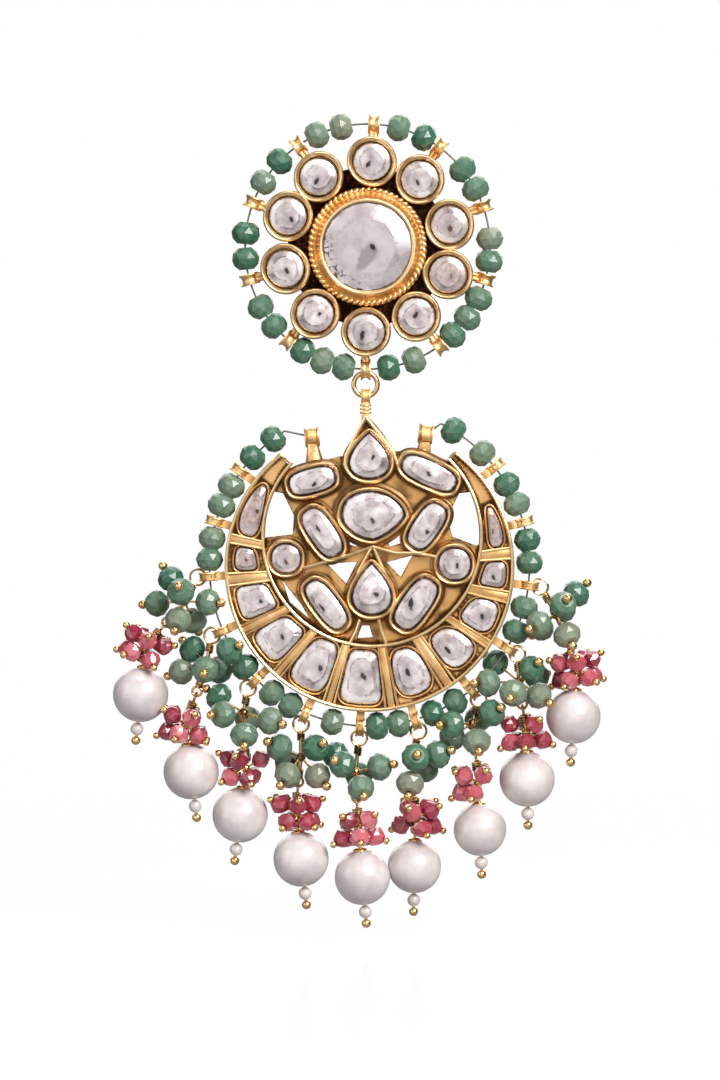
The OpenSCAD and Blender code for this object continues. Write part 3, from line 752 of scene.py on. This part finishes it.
def closed_loop(bm, points):
    """New vertices at points and the edges that join them in a ring."""
    verts = [bm.verts.new(p) for p in points]
    return verts, [bm.edges.new(pair) for pair in zip(verts, verts[1:] + verts[:1])]


def turned_shape(profile, steps):
    """A closed profile of (radius, height) spun round the Z axis."""
    bm = new_shape()
    verts, edges = closed_loop(bm, [(r, 0, z) for r, z in profile])
    bmesh.ops.spin(
        bm, geom=verts + edges, cent=(0, 0, 0), axis=(0, 0, 1), angle=tau, steps=steps,
        use_merge=True)
    bmesh.ops.remove_doubles(bm, verts=bm.verts[:], dist=1e-5)
    return bm


def mirrored(half_profile, middle):
    """A profile with two like ends, from the rows of (radius, height) above its middle."""
    return [(r, -z) for r, z in half_profile] + [middle] + half_profile[::-1]


def faceted_bead(name, diameter, length, bore, sides, shoulder, table):
    """A rondelle with a girdle of triangular facets, its hole along Z."""
    r = diameter / 2
    end = length / 2
    bm = turned_shape(mirrored(
        [(bore / 2, end), (table * r, end), (shoulder * r, length * 0.29)], (r, 0)), sides)
    girdle = [v for v in bm.verts if abs(v.co.z) < 1e-4 and v.co.xy.length > r * 0.9]
    half_side = Matrix.Rotation(pi / sides, 3, "Z")
    bmesh.ops.rotate(bm, cent=(0, 0, 0), matrix=half_side, verts=girdle)
    bmesh.ops.triangulate(bm, faces=bm.faces[:], quad_method="SHORT_EDGE")
    # A place within the bead, which the material uses to paint shade at the girdle.
    inside = bm.verts.layers.float_vector.new("inside")
    for vert in bm.verts:
        vert[inside] = (vert.co.x / r, vert.co.y / r, vert.co.z / length * 1.2)
    return kept(bm, name)


def wire_ring(name, radius, wire_d, steps=28, sides=8):
    """A ring of wire round the Z axis."""
    profile = [
        (radius + wire_d / 2 * cos(tau * k / sides),
         wire_d / 2 * sin(tau * k / sides)) for k in range(sides)
    ]
    return kept(turned_shape(profile, steps), name)


def wire_coil(name, radius, wire_d, pitch):
    """Four turns of wire close round the Z axis, standing on z = 0."""
    turns = 4
    steps_per_turn = 14
    bm = new_shape()
    section = bmesh.ops.create_circle(
        bm, segments=6, radius=wire_d / 2,
        matrix=at((radius, 0, 0)) @ Matrix.Rotation(pi / 2, 4, "X"))
    verts = section["verts"]
    edges = list({edge for vert in verts for edge in vert.link_edges})
    bmesh.ops.spin(
        bm, geom=verts + edges, cent=(0, 0, 0), axis=(0, 0, 1), dvec=(0, 0, pitch / steps_per_turn),
        angle=tau * turns, steps=turns * steps_per_turn)
    bmesh.ops.holes_fill(bm, edges=[e for e in bm.edges if e.is_boundary])
    return kept(bm, name)


def round_ball(name, diameter, detail=3):
    bm = new_shape()
    bmesh.ops.create_icosphere(bm, subdivisions=detail, radius=diameter / 2)
    return kept(bm, name)


def drilled_pearl(name, bore):
    """A pearl of radius 1 whose hole shows as a small pit at each end."""
    bm = new_shape()
    bmesh.ops.create_uvsphere(bm, u_segments=48, v_segments=32, radius=1)
    for vert in bm.verts:
        if vert.co.xy.length < bore:
            vert.co.z *= 0.72
    return kept(bm, name)


def unit_rod():
    """A rod one long and one thick along Z."""
    bm = new_shape()
    bmesh.ops.create_cone(bm, cap_ends=True, segments=10, radius1=0.5, radius2=0.5, depth=1)
    return kept(bm, "unit_rod")


def rod(bm, start, end, diameter):
    along = end - start
    size = sized(diameter, diameter, along.length)
    stamp(bm, plain_rod, aimed((start + end) / 2, along) @ size)


def ball_pin(bm, start, tip, diameter, end_ball):
    """A pin and the ball at its tip that keeps a bead on it."""
    rod(bm, start, tip, diameter)
    stamp(bm, end_ball, at(tip))


def finished(bm, name, body, slot, material, node, sharp=38):
    """Makes a piece in metres from a shape in millimetres with its material, hangs it on its body
    and hides the node it stands for.
    """
    bmesh.ops.scale(bm, vec=(MM, MM, MM), verts=bm.verts[:])
    mesh = bpy.data.meshes.new(name)
    bm.to_mesh(mesh)
    bm.free()
    stale = mesh.attributes.get("custom_normal")
    if stale:
        mesh.attributes.remove(stale)
    piece = added(name, mesh)
    mesh.materials.append(material)
    mesh.shade_smooth()
    mesh.set_sharp_from_angle(angle=radians(sharp))
    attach(piece, body)
    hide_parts(node)


def back_casting(node, cut_y, center, radius):
    """The copy of a cast frame behind cut_y, in millimetres and closed at the cut.

    Its front within a circle round the centre takes patina and painted shade by its depth.
    """
    bm = new_shape()
    bm.from_mesh(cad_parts[node].data)
    bmesh.ops.scale(bm, vec=(1 / MM, 1 / MM, 1 / MM), verts=bm.verts[:])
    bmesh.ops.remove_doubles(bm, verts=bm.verts[:], dist=0.001)
    bmesh.ops.recalc_face_normals(bm, faces=bm.faces[:])
    tone = bm.verts.layers.float.get("tone")
    for vert in bm.verts:
        spot = vert.co.xz
        is_front = vert.co.y < PATINA_AND_SHADE_Y and (spot - center).length < radius
        near_post = min((spot - post).length for post in TOP_POSTS)
        vert[tone] = CAST if is_front and near_post > POST_CLEAN_R else PLAIN
    cut = bmesh.ops.bisect_plane(
        bm, geom=bm.verts[:] + bm.edges[:] + bm.faces[:], dist=1e-5, plane_co=(0, cut_y, 0),
        plane_no=(0, -1, 0), clear_outer=True)
    rim = [g for g in cut["geom_cut"] if isinstance(g, bmesh.types.BMEdge)]
    bmesh.ops.triangle_fill(bm, edges=rim, use_beauty=True)
    bmesh.ops.recalc_face_normals(bm, faces=bm.faces[:])
    return bm


def crescent_gold_lines():
    """Points along the foot of all the gold that stands on the crescent, with its half width."""
    bar_steps = 12
    lines = []
    for row in CRESCENT_STONES:
        lines += [(p, CELL_COLLAR_W) for p in outline(cell_point, row)]
        for angle in (row[0] - BAR_MARGIN, row[1] + BAR_MARGIN):
            near = inner_reach(angle)
            for k in range(bar_steps + 1):
                reach = near + (CRESCENT_R - near) * k / bar_steps
                lines.append((CRESCENT_C + reach * clock(angle), BAR_WIRE_W / 2))
    for row in INNER_STONES:
        lines += [(p, STONE_COLLAR_W) for p in outline(inner_point, row)]
    for angle in range(0, 360, 2):
        lines.append((CRESCENT_C + (CRESCENT_R - WALL_IN) * clock(angle), OUTER_WALL_W / 2))
        if INNER_SHADE_ANGLES[0] <= angle <= INNER_SHADE_ANGLES[1]:
            lines.append((INNER_C + (INNER_R + WALL_IN) * clock(angle), INNER_WALL_W / 2))
    return lines


def shade_beside_gold(bm, y, lines, spacing, fade):
    """Cuts the flat front at y into small faces and marks it for painted shade and patina beside
    the gold on it and at the edges of its openings.
    """
    front = [f for f in bm.faces if all(abs(v.co.y - y) < 1e-3 for v in f.verts)]
    for normal in (Vector((1, 0, 0)), Vector((0, 0, 1))):
        along = [v.co.dot(normal) for f in front for v in f.verts]
        place = min(along) + spacing
        while place < max(along):
            verts = {v for f in front for v in f.verts}
            edges = {e for f in front for e in f.edges}
            cut = bmesh.ops.bisect_plane(
                bm, geom=list(verts) + list(edges) + front, dist=1e-4, plane_co=normal * place,
                plane_no=normal)
            front = [g for g in cut["geom"] if isinstance(g, bmesh.types.BMFace)]
            place += spacing
    tree = KDTree(len(lines))
    for k, line in enumerate(lines):
        tree.insert(on_face(line[0], 0), k)
    tree.balance()
    soot = bm.verts.layers.float.get("soot")
    flat = set(front)
    for vert in {v for f in front for v in f.verts}:
        _, k, distance = tree.find(on_face(vert.co.xz, 0))
        at_edge = any(face not in flat for face in vert.link_faces)
        beside = min(1, max(0, 1 - (distance - lines[k][1]) / fade))
        vert[soot] = 1 if at_edge else beside


def collar(bm, points, rings):
    """A band of gold round a stone, from rings of (distance outside its outline, y, tone), the tone
    painting shade on it.
    """
    shape = new_shape()
    tone = shape.verts.layers.float.get("tone")
    count = len(points)
    middle = sum(points, FACE_MIDDLE) / count
    outward = []
    for k, p in enumerate(points):
        along = (points[(k + 1) % count] - points[k - 1]).normalized()
        out = Vector((along.y, -along.x))
        outward.append(-out if out.dot(p - middle) < 0 else out)
    loops = []
    for distance, y, shade in rings:
        verts, edges = closed_loop(
            shape, [on_face(p + out * distance, y) for p, out in zip(points, outward)])
        for vert in verts:
            vert[tone] = shade
        loops.append(edges)
    for inner, outer in zip(loops, loops[1:] + loops[:1]):
        bmesh.ops.bridge_loops(shape, edges=inner + outer)
    stamp(bm, kept(shape, "collar"))


def arc_wall(bm, center, radius, width, ends):
    """A wall with a rounded top that follows a circle from one angle to another."""
    shape = new_shape()
    half = width / 2
    side = WALL_TOP + half
    section = (
        (-half, WALL_FOOT), (-half, side), (-half * 0.7, WALL_TOP + half * 0.3), (0, WALL_TOP),
        (half * 0.7, WALL_TOP + half * 0.3), (half, side), (half, WALL_FOOT))
    verts, edges = closed_loop(
        shape, [on_face(center + (radius + r) * clock(ends[0]), y) for r, y in section])
    turn = (ends[1] - ends[0]) % 360
    bmesh.ops.spin(
        shape, geom=verts + edges, cent=on_face(center, 0), axis=(0, 1, 0),
        angle=radians(turn), steps=max(8, int(turn / 3)))
    bmesh.ops.holes_fill(shape, edges=[e for e in shape.edges if e.is_boundary])
    stamp(bm, kept(shape, "arc_wall"))


def swept_lip(bm, points, width, foot, top):
    """A raised lip of gold that follows points on the face."""
    curve = bpy.data.curves.new("lip", "CURVE")
    curve.dimensions = "3D"
    curve.bevel_depth = width / 2
    curve.bevel_resolution = 2
    curve.use_fill_caps = True
    line = curve.splines.new("POLY")
    line.points.add(len(points) - 1)
    for knot, p in zip(line.points, points):
        knot.co = (p[0], 0, p[1], 1)
    holder = added("lip", curve)
    mesh = bpy.data.meshes.new_from_object(holder)
    bpy.data.objects.remove(holder)
    deep = sized(1, abs(top - foot) / width, 1)
    stamp(bm, mesh, at((0, (top + foot) / 2, 0)) @ deep)


def rounded_bar(bm, start, end, width):
    """A flat bar with rounded edges between two points of the face."""
    shape = new_shape()
    bmesh.ops.create_cube(shape, size=1)
    along = end - start
    size = (width, abs(BAR_FRONT - WALL_FOOT), along.length)
    bmesh.ops.scale(shape, vec=size, verts=shape.verts[:])
    bmesh.ops.bevel(
        shape, geom=shape.edges[:], offset=width * 0.16, affect="EDGES", segments=2, profile=0.5,
        material=-1)
    place = at(on_face((start + end) / 2, (WALL_FOOT + BAR_FRONT) / 2))
    turn = Matrix.Rotation(atan2(along.x, along.y), 4, "Y")
    stamp(bm, kept(shape, "bar"), place @ turn, BAR_TONE)


def eyelet(bm, place, angle, width, barrel_r, neck_l):
    """A folded strip: a barrel that the thread runs through, flared ends and a grooved neck."""
    out = on_face(clock(angle), 0)
    along = on_face(clock(angle + 90), 0)
    hole_r = barrel_r - 0.34
    end = width / 2
    barrel = turned_shape(mirrored([
        (hole_r, end), (barrel_r + 0.1, end + 0.04), (barrel_r + 0.13, end - 0.08),
        (barrel_r - 0.1, end - 0.32)], (barrel_r - 0.14, 0)), 24)
    stamp(bm, kept(barrel, "eyelet_barrel"), aimed(place, along))
    for side in (-1, 1):
        shift = along * side * width * 0.2
        rod(bm, place + shift - out * (barrel_r * 0.7), place + shift - out * neck_l, width * 0.48)


gold = satin_gold()
bright = bright_gold()
stone = foil_stone()
nacre = pearl_nacre()
thread = dark_thread()

ball = round_ball("pin_ball", BALL_D)
small_ball = round_ball("small_pin_ball", PINK_BALL_D * 1.15, 2)
loop_ring = wire_ring("loop_ring", LOOP_R, LOOP_WIRE_D, 20)
small_ring = wire_ring("small_loop_ring", SMALL_LOOP_R, SMALL_LOOP_WIRE_D, 20)
plain_rod = unit_rod()
green_bead = faceted_bead(
    "green_rondelle", BEAD_D, BEAD_L, bore=0.55, sides=10, shoulder=0.86, table=0.52)
pink_bead = faceted_bead(
    "pink_rondelle", PINK_D, PINK_L, bore=0.5, sides=8, shoulder=0.74, table=0.42)
# Kinds of beads: slot, material, shape, least and greatest width and length as shares
STRUNG = ("green_stone", green_quartz(), green_bead, (0.97, 1.05), 1.1)
CLUSTERED = (*STRUNG[:4], 1.06)
PINK = ("pink_stone", pink_stone(), pink_bead, (1.04, 1.16), 1.1)


# Gold of the stud and the crescent

def collet(bm, center):
    """A petal's collet, not quite round: a wall with a narrow lip and a slope to the stone."""
    lobe = chance.uniform(0, 360)
    swell = chance.uniform(0.02, 0.07)
    points = []
    for k, p in enumerate(circle_points(center, PETAL_STONE_D / 2)):
        bulge = 1 + sin(radians(lobe + 720 * k / OUTLINE_STEPS))
        points.append(p + (p - center).normalized() * swell * bulge)
    lean = chance.uniform(-0.04, 0.04)
    collar(bm, points, [(d, y + lean * d, tone) for d, y, tone in PETAL_COLLAR])


def center_bezel(bm):
    """The stepped bezel of the centre stone and the twisted rope on its step."""
    collar(bm, circle_points(FACE_MIDDLE, CENTER_STONE_D / 2), CENTER_COLLAR)
    twist = new_shape()
    bmesh.ops.create_icosphere(twist, subdivisions=2, radius=1)
    bmesh.ops.scale(twist, vec=ROPE_BEAD, verts=twist.verts[:])
    bead = kept(twist, "rope_bead")
    for k in range(ROPE_TURNS):
        angle = 360 * k / ROPE_TURNS
        place = at(on_face(ROPE_R * clock(angle), ROPE_Y))
        stamp(bm, bead, place @ face_turn(angle) @ face_turn(ROPE_LEAN))


def stud_gold():
    """Stud frame: back plate, collets, centre bezel with its rope, eyelets and the link's eye."""
    edge = PETAL_STONE_D / 2
    reach = PETAL_RING_R + edge + PETAL_PATINA_AND_SHADE_W
    bm = back_casting("stud_frame", STUD_CUT_Y, FACE_MIDDLE, reach)
    centers = [PETAL_RING_R * clock(angle) for angle in PETAL_ANGLES]
    lines = [(center, edge + PETAL_COLLAR_W) for center in centers]
    shade_beside_gold(bm, STUD_PLATE_Y, lines, spacing=0.4, fade=2.2)
    for center in centers:
        collet(bm, center)
    center_bezel(bm)
    for angle in STUD_EYELET_ANGLES:
        eyelet(bm, on_face(STUD_STRING_R * clock(angle), MID_Y), angle, *STUD_EYELET)
    eyelet(bm, Vector((LINK_CENTER.x, MID_Y, STUD_EYE_Z)), 180, *STUD_EYE)
    finished(bm, "stud_gold", "stud", "gold", gold, "stud_frame")


def crescent_walls(bm):
    """The crescent's two walls, its bars with a wire on each side, and its stones' collars."""
    arc_wall(bm, CRESCENT_C, CRESCENT_R - WALL_IN, OUTER_WALL_W, TIP_ANGLES)
    arc_wall(bm, INNER_C, INNER_R + WALL_IN, INNER_WALL_W, INNER_TIP_ANGLES)
    for before, after in zip(CRESCENT_STONES, CRESCENT_STONES[1:]):
        wires = []
        for angle in (before[0] - BAR_MARGIN, after[1] + BAR_MARGIN):
            start = CRESCENT_C + (inner_reach(angle) + WALL_IN) * clock(angle)
            end = CRESCENT_C + (CRESCENT_R - BAR_END_IN) * clock(angle)
            swept_lip(bm, (start, end), BAR_WIRE_W, WALL_FOOT, BAR_WIRE_TOP)
            wires.append((start, end))
        starts, ends = zip(*wires)
        width = (starts[0] - starts[1]).length
        rounded_bar(bm, (starts[0] + starts[1]) / 2, (ends[0] + ends[1]) / 2, width)
    for row in CRESCENT_STONES:
        collar(bm, outline(cell_point, row), CELL_COLLAR)


def inner_settings(bm):
    """The collars round the stones inside the crescent and the struts that join them."""
    for row in INNER_STONES:
        foot = PEAR_FOOT if row[6] == "pear" else PLAIN_FOOT
        collar(bm, outline(inner_point, row), STONE_COLLAR + foot)
    for points in STRUTS:
        swept_lip(bm, points, STRUT_W, STRUT_FOOT, WALL_TOP)


def top_posts(bm):
    """The two posts at the top, each an eyelet on a flattened cone."""
    cone = new_shape()
    bmesh.ops.create_cone(
        cone, cap_ends=True, segments=24, radius1=1.1, radius2=0.62, depth=POST_FOOT_L)
    foot = kept(cone, "post_foot")
    for post, (lean, rise) in zip(TOP_POSTS, TOP_POST_LEANS):
        place = on_face(post, MID_Y) + Vector((0, 0, rise))
        eyelet(bm, place, lean, *TOP_POST_EYELET)
        below = at(place - on_face(clock(lean), 0) * POST_FOOT_L)
        stamp(bm, foot, below @ face_turn(lean) @ sized(1, 0.75, 1))


def crescent_gold():
    """Crescent frame: pierced casting, walls, wires, collars, eyelets and the ribbed neck."""
    bm = back_casting("crescent_frame", CELL_FLOOR_Y, CRESCENT_C, CRESCENT_R + CRESCENT_PATINA_AND_SHADE_W)
    lines = crescent_gold_lines()
    shade_beside_gold(bm, CELL_FLOOR_Y, lines, spacing=0.33, fade=0.5)
    shade_beside_gold(bm, INNER_PLATE_Y, lines, spacing=0.3, fade=0.7)
    crescent_walls(bm)
    inner_settings(bm)
    for angle in PLAIN_EYELET_ANGLES + STRAND_ANGLES:
        place = on_face(CRESCENT_C + RIM_EYELET_R * clock(angle), MID_Y)
        eyelet(bm, place, angle, *RIM_EYELET)
    top_posts(bm)
    eyelet(bm, Vector((LINK_CENTER.x, MID_Y, DROP_EYE_Z)), 0, *DROP_EYE)
    rib = wire_ring("neck_rib", NECK_R, NECK_WIRE_D, 24, 6)
    for z in NECK_Z:
        neck = Vector((LINK_CENTER.x, MID_Y, z))
        stamp(bm, rib, aimed(neck, Vector((0, 0, 1))) @ sized(0.6, 0.7, 1))
    finished(bm, "crescent_gold", "drop", "gold", gold, "crescent_frame")


# Stones

def polki_stone(node, body, point_of, row, back, front, rise, table):
    """A flat-cut stone: a girdle, uneven crown facets and a table that isn't quite level."""
    bm = new_shape()
    uv = bm.loops.layers.uv.new("UVMap")
    bm.verts.layers.float.new("heart")
    edge = outline(point_of, row, STONE_SIDES)
    middle = sum(edge, FACE_MIDDLE) / STONE_SIDES
    reach = max((p - middle).length for p in edge)
    bmesh.ops.create_circle(bm, cap_ends=True, segments=STONE_SIDES, radius=reach)
    bm.verts.ensure_lookup_table()
    for vert, p in zip(bm.verts, edge):
        vert.co = on_face(p, back)
    face = bm.faces[:]
    tilt_x = chance.uniform(-TABLE_TILT, TABLE_TILT) / reach
    tilt_z = chance.uniform(-TABLE_TILT, TABLE_TILT) / reach
    rings = ((1.0, front + 0.12, 0), (0.93, front - rise * 0.35, 0.01), (table, front - rise, 0.07))
    shares = {vert: 1.0 for vert in bm.verts}
    for share, y, jitter in rings:
        raised = bmesh.ops.extrude_face_region(bm, geom=face)
        face = [g for g in raised["geom"] if isinstance(g, bmesh.types.BMFace)]
        for loop in face[0].loops:
            vert = loop.vert
            out = vert.co.xz - middle
            origin = min(edge, key=lambda p: abs((p - middle).angle_signed(out, 0)))
            wobble = 1 + chance.uniform(-jitter, jitter)
            place = middle + (origin - middle) * share * wobble
            lean = (place.x - middle.x) * tilt_x + (place.y - middle.y) * tilt_z
            vert.co = on_face(place, y + (lean if share == table else 0))
            shares[vert] = share
    bmesh.ops.triangulate(
        bm, faces=[f for f in bm.faces if len(f.verts) == 4], quad_method="SHORT_EDGE")
    bmesh.ops.recalc_face_normals(bm, faces=bm.faces[:])
    values = {
        "tone": chance.random(), "soot": STAINED_STONES.get(node, LIGHT_STAIN),
        "heart": min(0.28, 0.85 / reach)}
    for name, value in values.items():
        layer = bm.verts.layers.float.get(name)
        for vert in bm.verts:
            vert[layer] = value
    for loop in (loop for f in bm.faces for loop in f.loops):
        out = loop.vert.co.xz - middle
        loop[uv].uv = out.normalized() * shares[loop.vert] if out.length > 1e-6 else out
    finished(bm, f"{node}_polki", body, "polki", stone, node, sharp=12)


def all_stones():
    polki_stone(
        "stud_center_stone", "stud", round_point, (FACE_MIDDLE, CENTER_STONE_D), STUD_STONE_BACK,
        CENTER_STONE_FRONT, rise=0.55, table=0.62)
    for k, angle in enumerate(PETAL_ANGLES, 1):
        polki_stone(
            f"petal_stone_{k}", "stud", round_point, (PETAL_RING_R * clock(angle), PETAL_STONE_D),
            STUD_STONE_BACK, -STUD_DEPTH, rise=0.32, table=0.6)
    for k, row in enumerate(CRESCENT_STONES, 1):
        polki_stone(
            f"crescent_stone_{k}", "drop", cell_point, row, DROP_STONE_BACK, CRESCENT_FRONT,
            rise=0.32, table=0.62)
    for row in INNER_STONES:
        polki_stone(
            row[0], "drop", inner_point, row, DROP_STONE_BACK, CRESCENT_FRONT, rise=0.32, table=0.6)


# Beads and pearls

def bead_piece(name, body, node, kind, spots):
    """Beads as one piece, from spots of (place, direction of the hole, tone or None)."""
    slot, material, shape, widths, length = kind
    bm = new_shape()
    bm.verts.layers.float_vector.new("inside")
    for place, along, tone in spots:
        size = sized(chance.uniform(*widths), chance.uniform(*widths), length)
        turned = aimed(place, along, chance.uniform(0, tau))
        stamp(bm, shape, turned @ size, chance.random() if tone is None else tone)
    finished(bm, name, body, slot, material, node, sharp=8)


def string_spots(center, radius, beads):
    for angle, tone in beads:
        yield on_face(center + radius * clock(angle), MID_Y), on_face(clock(angle + 90), 0), tone


def green_spots():
    for i, offsets in enumerate(GREEN_OFFSETS):
        for p in map(Vector, offsets):
            tone = 0.56 + 0.17 * p.z + chance.uniform(-0.25, 0.25)
            yield green_hub(i) + p, p, min(1, max(0, tone))


def pink_spots():
    for i in EACH_STRAND:
        for v in pink_directions(i):
            yield pink_hub(i) + PINK_REACH * v, v, None


def all_beads():
    on_stud = string_spots(FACE_MIDDLE, STUD_STRING_R, STUD_BEADS)
    on_rim = string_spots(CRESCENT_C, RIM_STRING_R, RIM_BEADS)
    bead_piece("stud_bead_string", "stud", "stud_beads", STRUNG, on_stud)
    bead_piece("rim_bead_string", "drop", "rim_beads", STRUNG, on_rim)
    bead_piece("green_cluster_beads", "drop", "green_beads", CLUSTERED, green_spots())
    bead_piece("pink_cluster_beads", "drop", "pink_beads", PINK, pink_spots())


def green_cluster_gold():
    """Hanger rings, wound stems, hubs and the pins and balls of the green clusters."""
    bm = new_shape()
    hanger_ring = wire_ring("hanger_ring", HANGER_R, HANGER_WIRE_D)
    winding = wire_coil("stem_winding", radius=0.36, wire_d=0.22, pitch=0.23)
    hub_ball = round_ball("hub_ball", HUB_D, 2)
    for i, offsets in enumerate(GREEN_OFFSETS):
        hub = green_hub(i)
        hanger = hanger_center(i)
        up = (hanger - hub).normalized()
        down = (pink_hub(i) - hub).normalized()
        middle = (hub + pink_hub(i)) / 2 - down * LOOP_APART / 2
        # The tones darken rings, windings and hubs with tarnish and painted shade.
        stamp(bm, hanger_ring, aimed(hanger, TO_THE_BACK), tone=0.3)
        rod(bm, hanger - up * HANGER_R, hub, STEM_D)
        stamp(bm, winding, aimed(hanger - up * (HANGER_R + 0.1), -up), tone=0.9)
        stamp(bm, hub_ball, at(hub), tone=0.8)
        rod(bm, hub, middle - down * LOOP_R, STEM_D)
        stamp(bm, winding, aimed(middle - down * (LOOP_R + 0.95), down), tone=0.8)
        stamp(bm, loop_ring, aimed(middle, down.cross(TO_THE_BACK).cross(down)))
        for p in map(Vector, offsets):
            tip = hub + p + p.normalized() * (BEAD_L / 2 + END_GAP + BALL_D / 2)
            ball_pin(bm, hub, tip, PIN_D, ball)
    finished(bm, "green_cluster_gold", "drop", "gold", bright, "green_pins")


def pink_cluster_gold():
    """Loops, hubs and the pins and balls of the pink clusters."""
    bm = new_shape()
    winding = wire_coil("loop_winding", radius=0.46, wire_d=0.24, pitch=0.25)
    hub_ball = round_ball("pink_hub_ball", PINK_HUB_D, 2)
    for i in EACH_STRAND:
        hub = pink_hub(i)
        up = (green_hub(i) - hub).normalized()
        down = (pearl_center(i) - hub).normalized()
        middle = (hub + green_hub(i)) / 2 - up * LOOP_APART / 2
        stamp(bm, loop_ring, aimed(middle, up.cross(TO_THE_BACK)))
        rod(bm, middle - up * LOOP_R, hub, STEM_D)
        stamp(bm, winding, aimed(middle - up * (LOOP_R + 0.1), -up), tone=0.7)
        stamp(bm, hub_ball, at(hub))
        stamp(bm, small_ring, aimed(hub + down * SMALL_LOOP_DROP, down.cross(TO_THE_BACK)))
        for v in pink_directions(i):
            ball_pin(bm, hub, hub + PINK_TIP * v, PINK_PIN_D, small_ball)
    finished(bm, "pink_cluster_gold", "drop", "gold", bright, "pink_pins")


def pearls():
    shape = drilled_pearl("drilled_pearl", bore=0.1)
    for i, strand in enumerate(STRANDS):
        bm = new_shape()
        place = aimed(pearl_center(i), pink_hub(i) - pearl_center(i))
        stamp(bm, shape, place @ Matrix.Scale(strand[4] / 2, 4))
        finished(bm, f"pearl_{i + 1}_nacre", "drop", "pearl", nacre, f"pearl_{i + 1}")


def seed_pearls_and_pins():
    seeds = new_shape()
    metal = new_shape()
    seed = drilled_pearl("drilled_seed", bore=0.3)
    cap = round_ball("pearl_cap", PEARL_CAP_D)
    for i, strand in enumerate(STRANDS):
        hub = pink_hub(i)
        center = pearl_center(i)
        down = (center - hub).normalized()
        radius = strand[4] / 2
        top = hub + down * (SMALL_LOOP_DROP + SMALL_LOOP_APART)
        tip = center + down * (radius + 2 * PEARL_GAP + SEED_D + END_BALL_D / 2)
        stamp(metal, small_ring, aimed(top, down.cross(TO_THE_BACK).cross(down)))
        ball_pin(metal, top + down * SMALL_LOOP_R, tip, SMALL_STEM_D, ball)
        flat = sized(1, 1, 0.35)
        stamp(metal, cap, aimed(center - down * (radius - 0.02), down) @ flat)
        place = aimed(center + down * (radius + PEARL_GAP + SEED_D / 2), down)
        stamp(seeds, seed, place @ Matrix.Scale(SEED_D / 2, 4))
    finished(seeds, "seed_pearl_beads", "drop", "pearl", nacre, "seed_pearls")
    finished(metal, "pearl_pin_gold", "drop", "gold", bright, "pearl_pins")


def link():
    bm = new_shape()
    ring = wire_ring("link_wire", LINK_R, LINK_WIRE_D, 48, 14)
    stamp(bm, ring, aimed(LINK_CENTER, TO_THE_BACK))
    finished(bm, "link_wire", "link", "gold", bright, "link_ring")


def plain_nodes():
    """The nodes whose shape is shown as it is get their finish."""
    for name, material in (("ear_post", bright), ("stud_string", thread), ("rim_string", thread)):
        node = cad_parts[name]
        node.data.materials.clear()
        node.data.materials.append(material)


# Studio

def pale_floor(z):
    """A pale glossy ground that fades out round the point under the earring."""
    finish = Finish("pale_floor", Specular_IOR_Level=0.5)
    color = finish.noise(3, 2).ramp((0.3, (0.9, 0.9, 0.9)), (0.7, (0.93, 0.93, 0.93)))
    finish.feed("Alpha", finish.place.length().step(0.2, 0.02) * 0.25)
    bm = bmesh.new()
    bmesh.ops.create_circle(bm, cap_ends=True, segments=64, radius=FLOOR_R)
    bmesh.ops.translate(bm, vec=(0, 0, z), verts=bm.verts[:])
    mesh = bpy.data.meshes.new("floor")
    bm.to_mesh(mesh)
    bm.free()
    mesh.materials.append(finish.dressed(color, 0.16 + 0.05 * finish.noise(20, 2)))
    added("floor", mesh)


def lights(center):
    for name, place, width, height, watts in LIGHTS:
        data = bpy.data.lights.new(name, "AREA")
        data.shape = "RECTANGLE"
        data.size = width
        data.size_y = height
        data.energy = watts
        spot = center + Vector(place)
        added(name, data).matrix_world = aimed(spot, center - spot, axis="-Z")


def white_air():
    """A world that is white to the camera and gives the earring a faint cool light."""
    world = bpy.data.worlds.new("studio_air")
    bpy.context.scene.world = world
    world.use_nodes = True
    tree = world.node_tree
    tree.nodes.clear()
    seen = new_node(tree, "ShaderNodeBackground", inputs={"Color": (1, 1, 1, 1), "Strength": 1.0})
    lit = new_node(tree, "ShaderNodeBackground", inputs={
        "Color": (0.97, 0.98, 1, 1), "Strength": 0.15})
    from_camera = new_node(tree, "ShaderNodeLightPath", output="Is Camera Ray")
    air = new_node(tree, "ShaderNodeMixShader", inputs={0: from_camera, 1: lit, 2: seen})
    surface(tree, "ShaderNodeOutputWorld", air)


def camera(center):
    data = bpy.data.cameras.new("photo_camera")
    data.lens = VIEW_LENS
    data.clip_start = 0.01
    eye = center + Vector((0, -cos(VIEW_RISE), sin(VIEW_RISE))) * VIEW_DISTANCE
    obj = added("photo_camera", data)
    obj.matrix_world = aimed(eye, center - eye, axis="-Z")
    bpy.context.scene.camera = obj


stud_gold()
crescent_gold()
all_stones()
all_beads()
green_cluster_gold()
pink_cluster_gold()
pearls()
seed_pearls_and_pins()
link()
plain_nodes()

low = Vector(cad_box[0])
high = Vector(cad_box[1])
view_center = Vector(((low.x + high.x) / 2, MID_Y * MM, (low.z + high.z) / 2 - VIEW_BELOW))
pale_floor(low.z - FLOOR_BELOW)
lights(view_center)
white_air()
camera(view_center)
bpy.context.scene.view_settings.view_transform = "Standard"
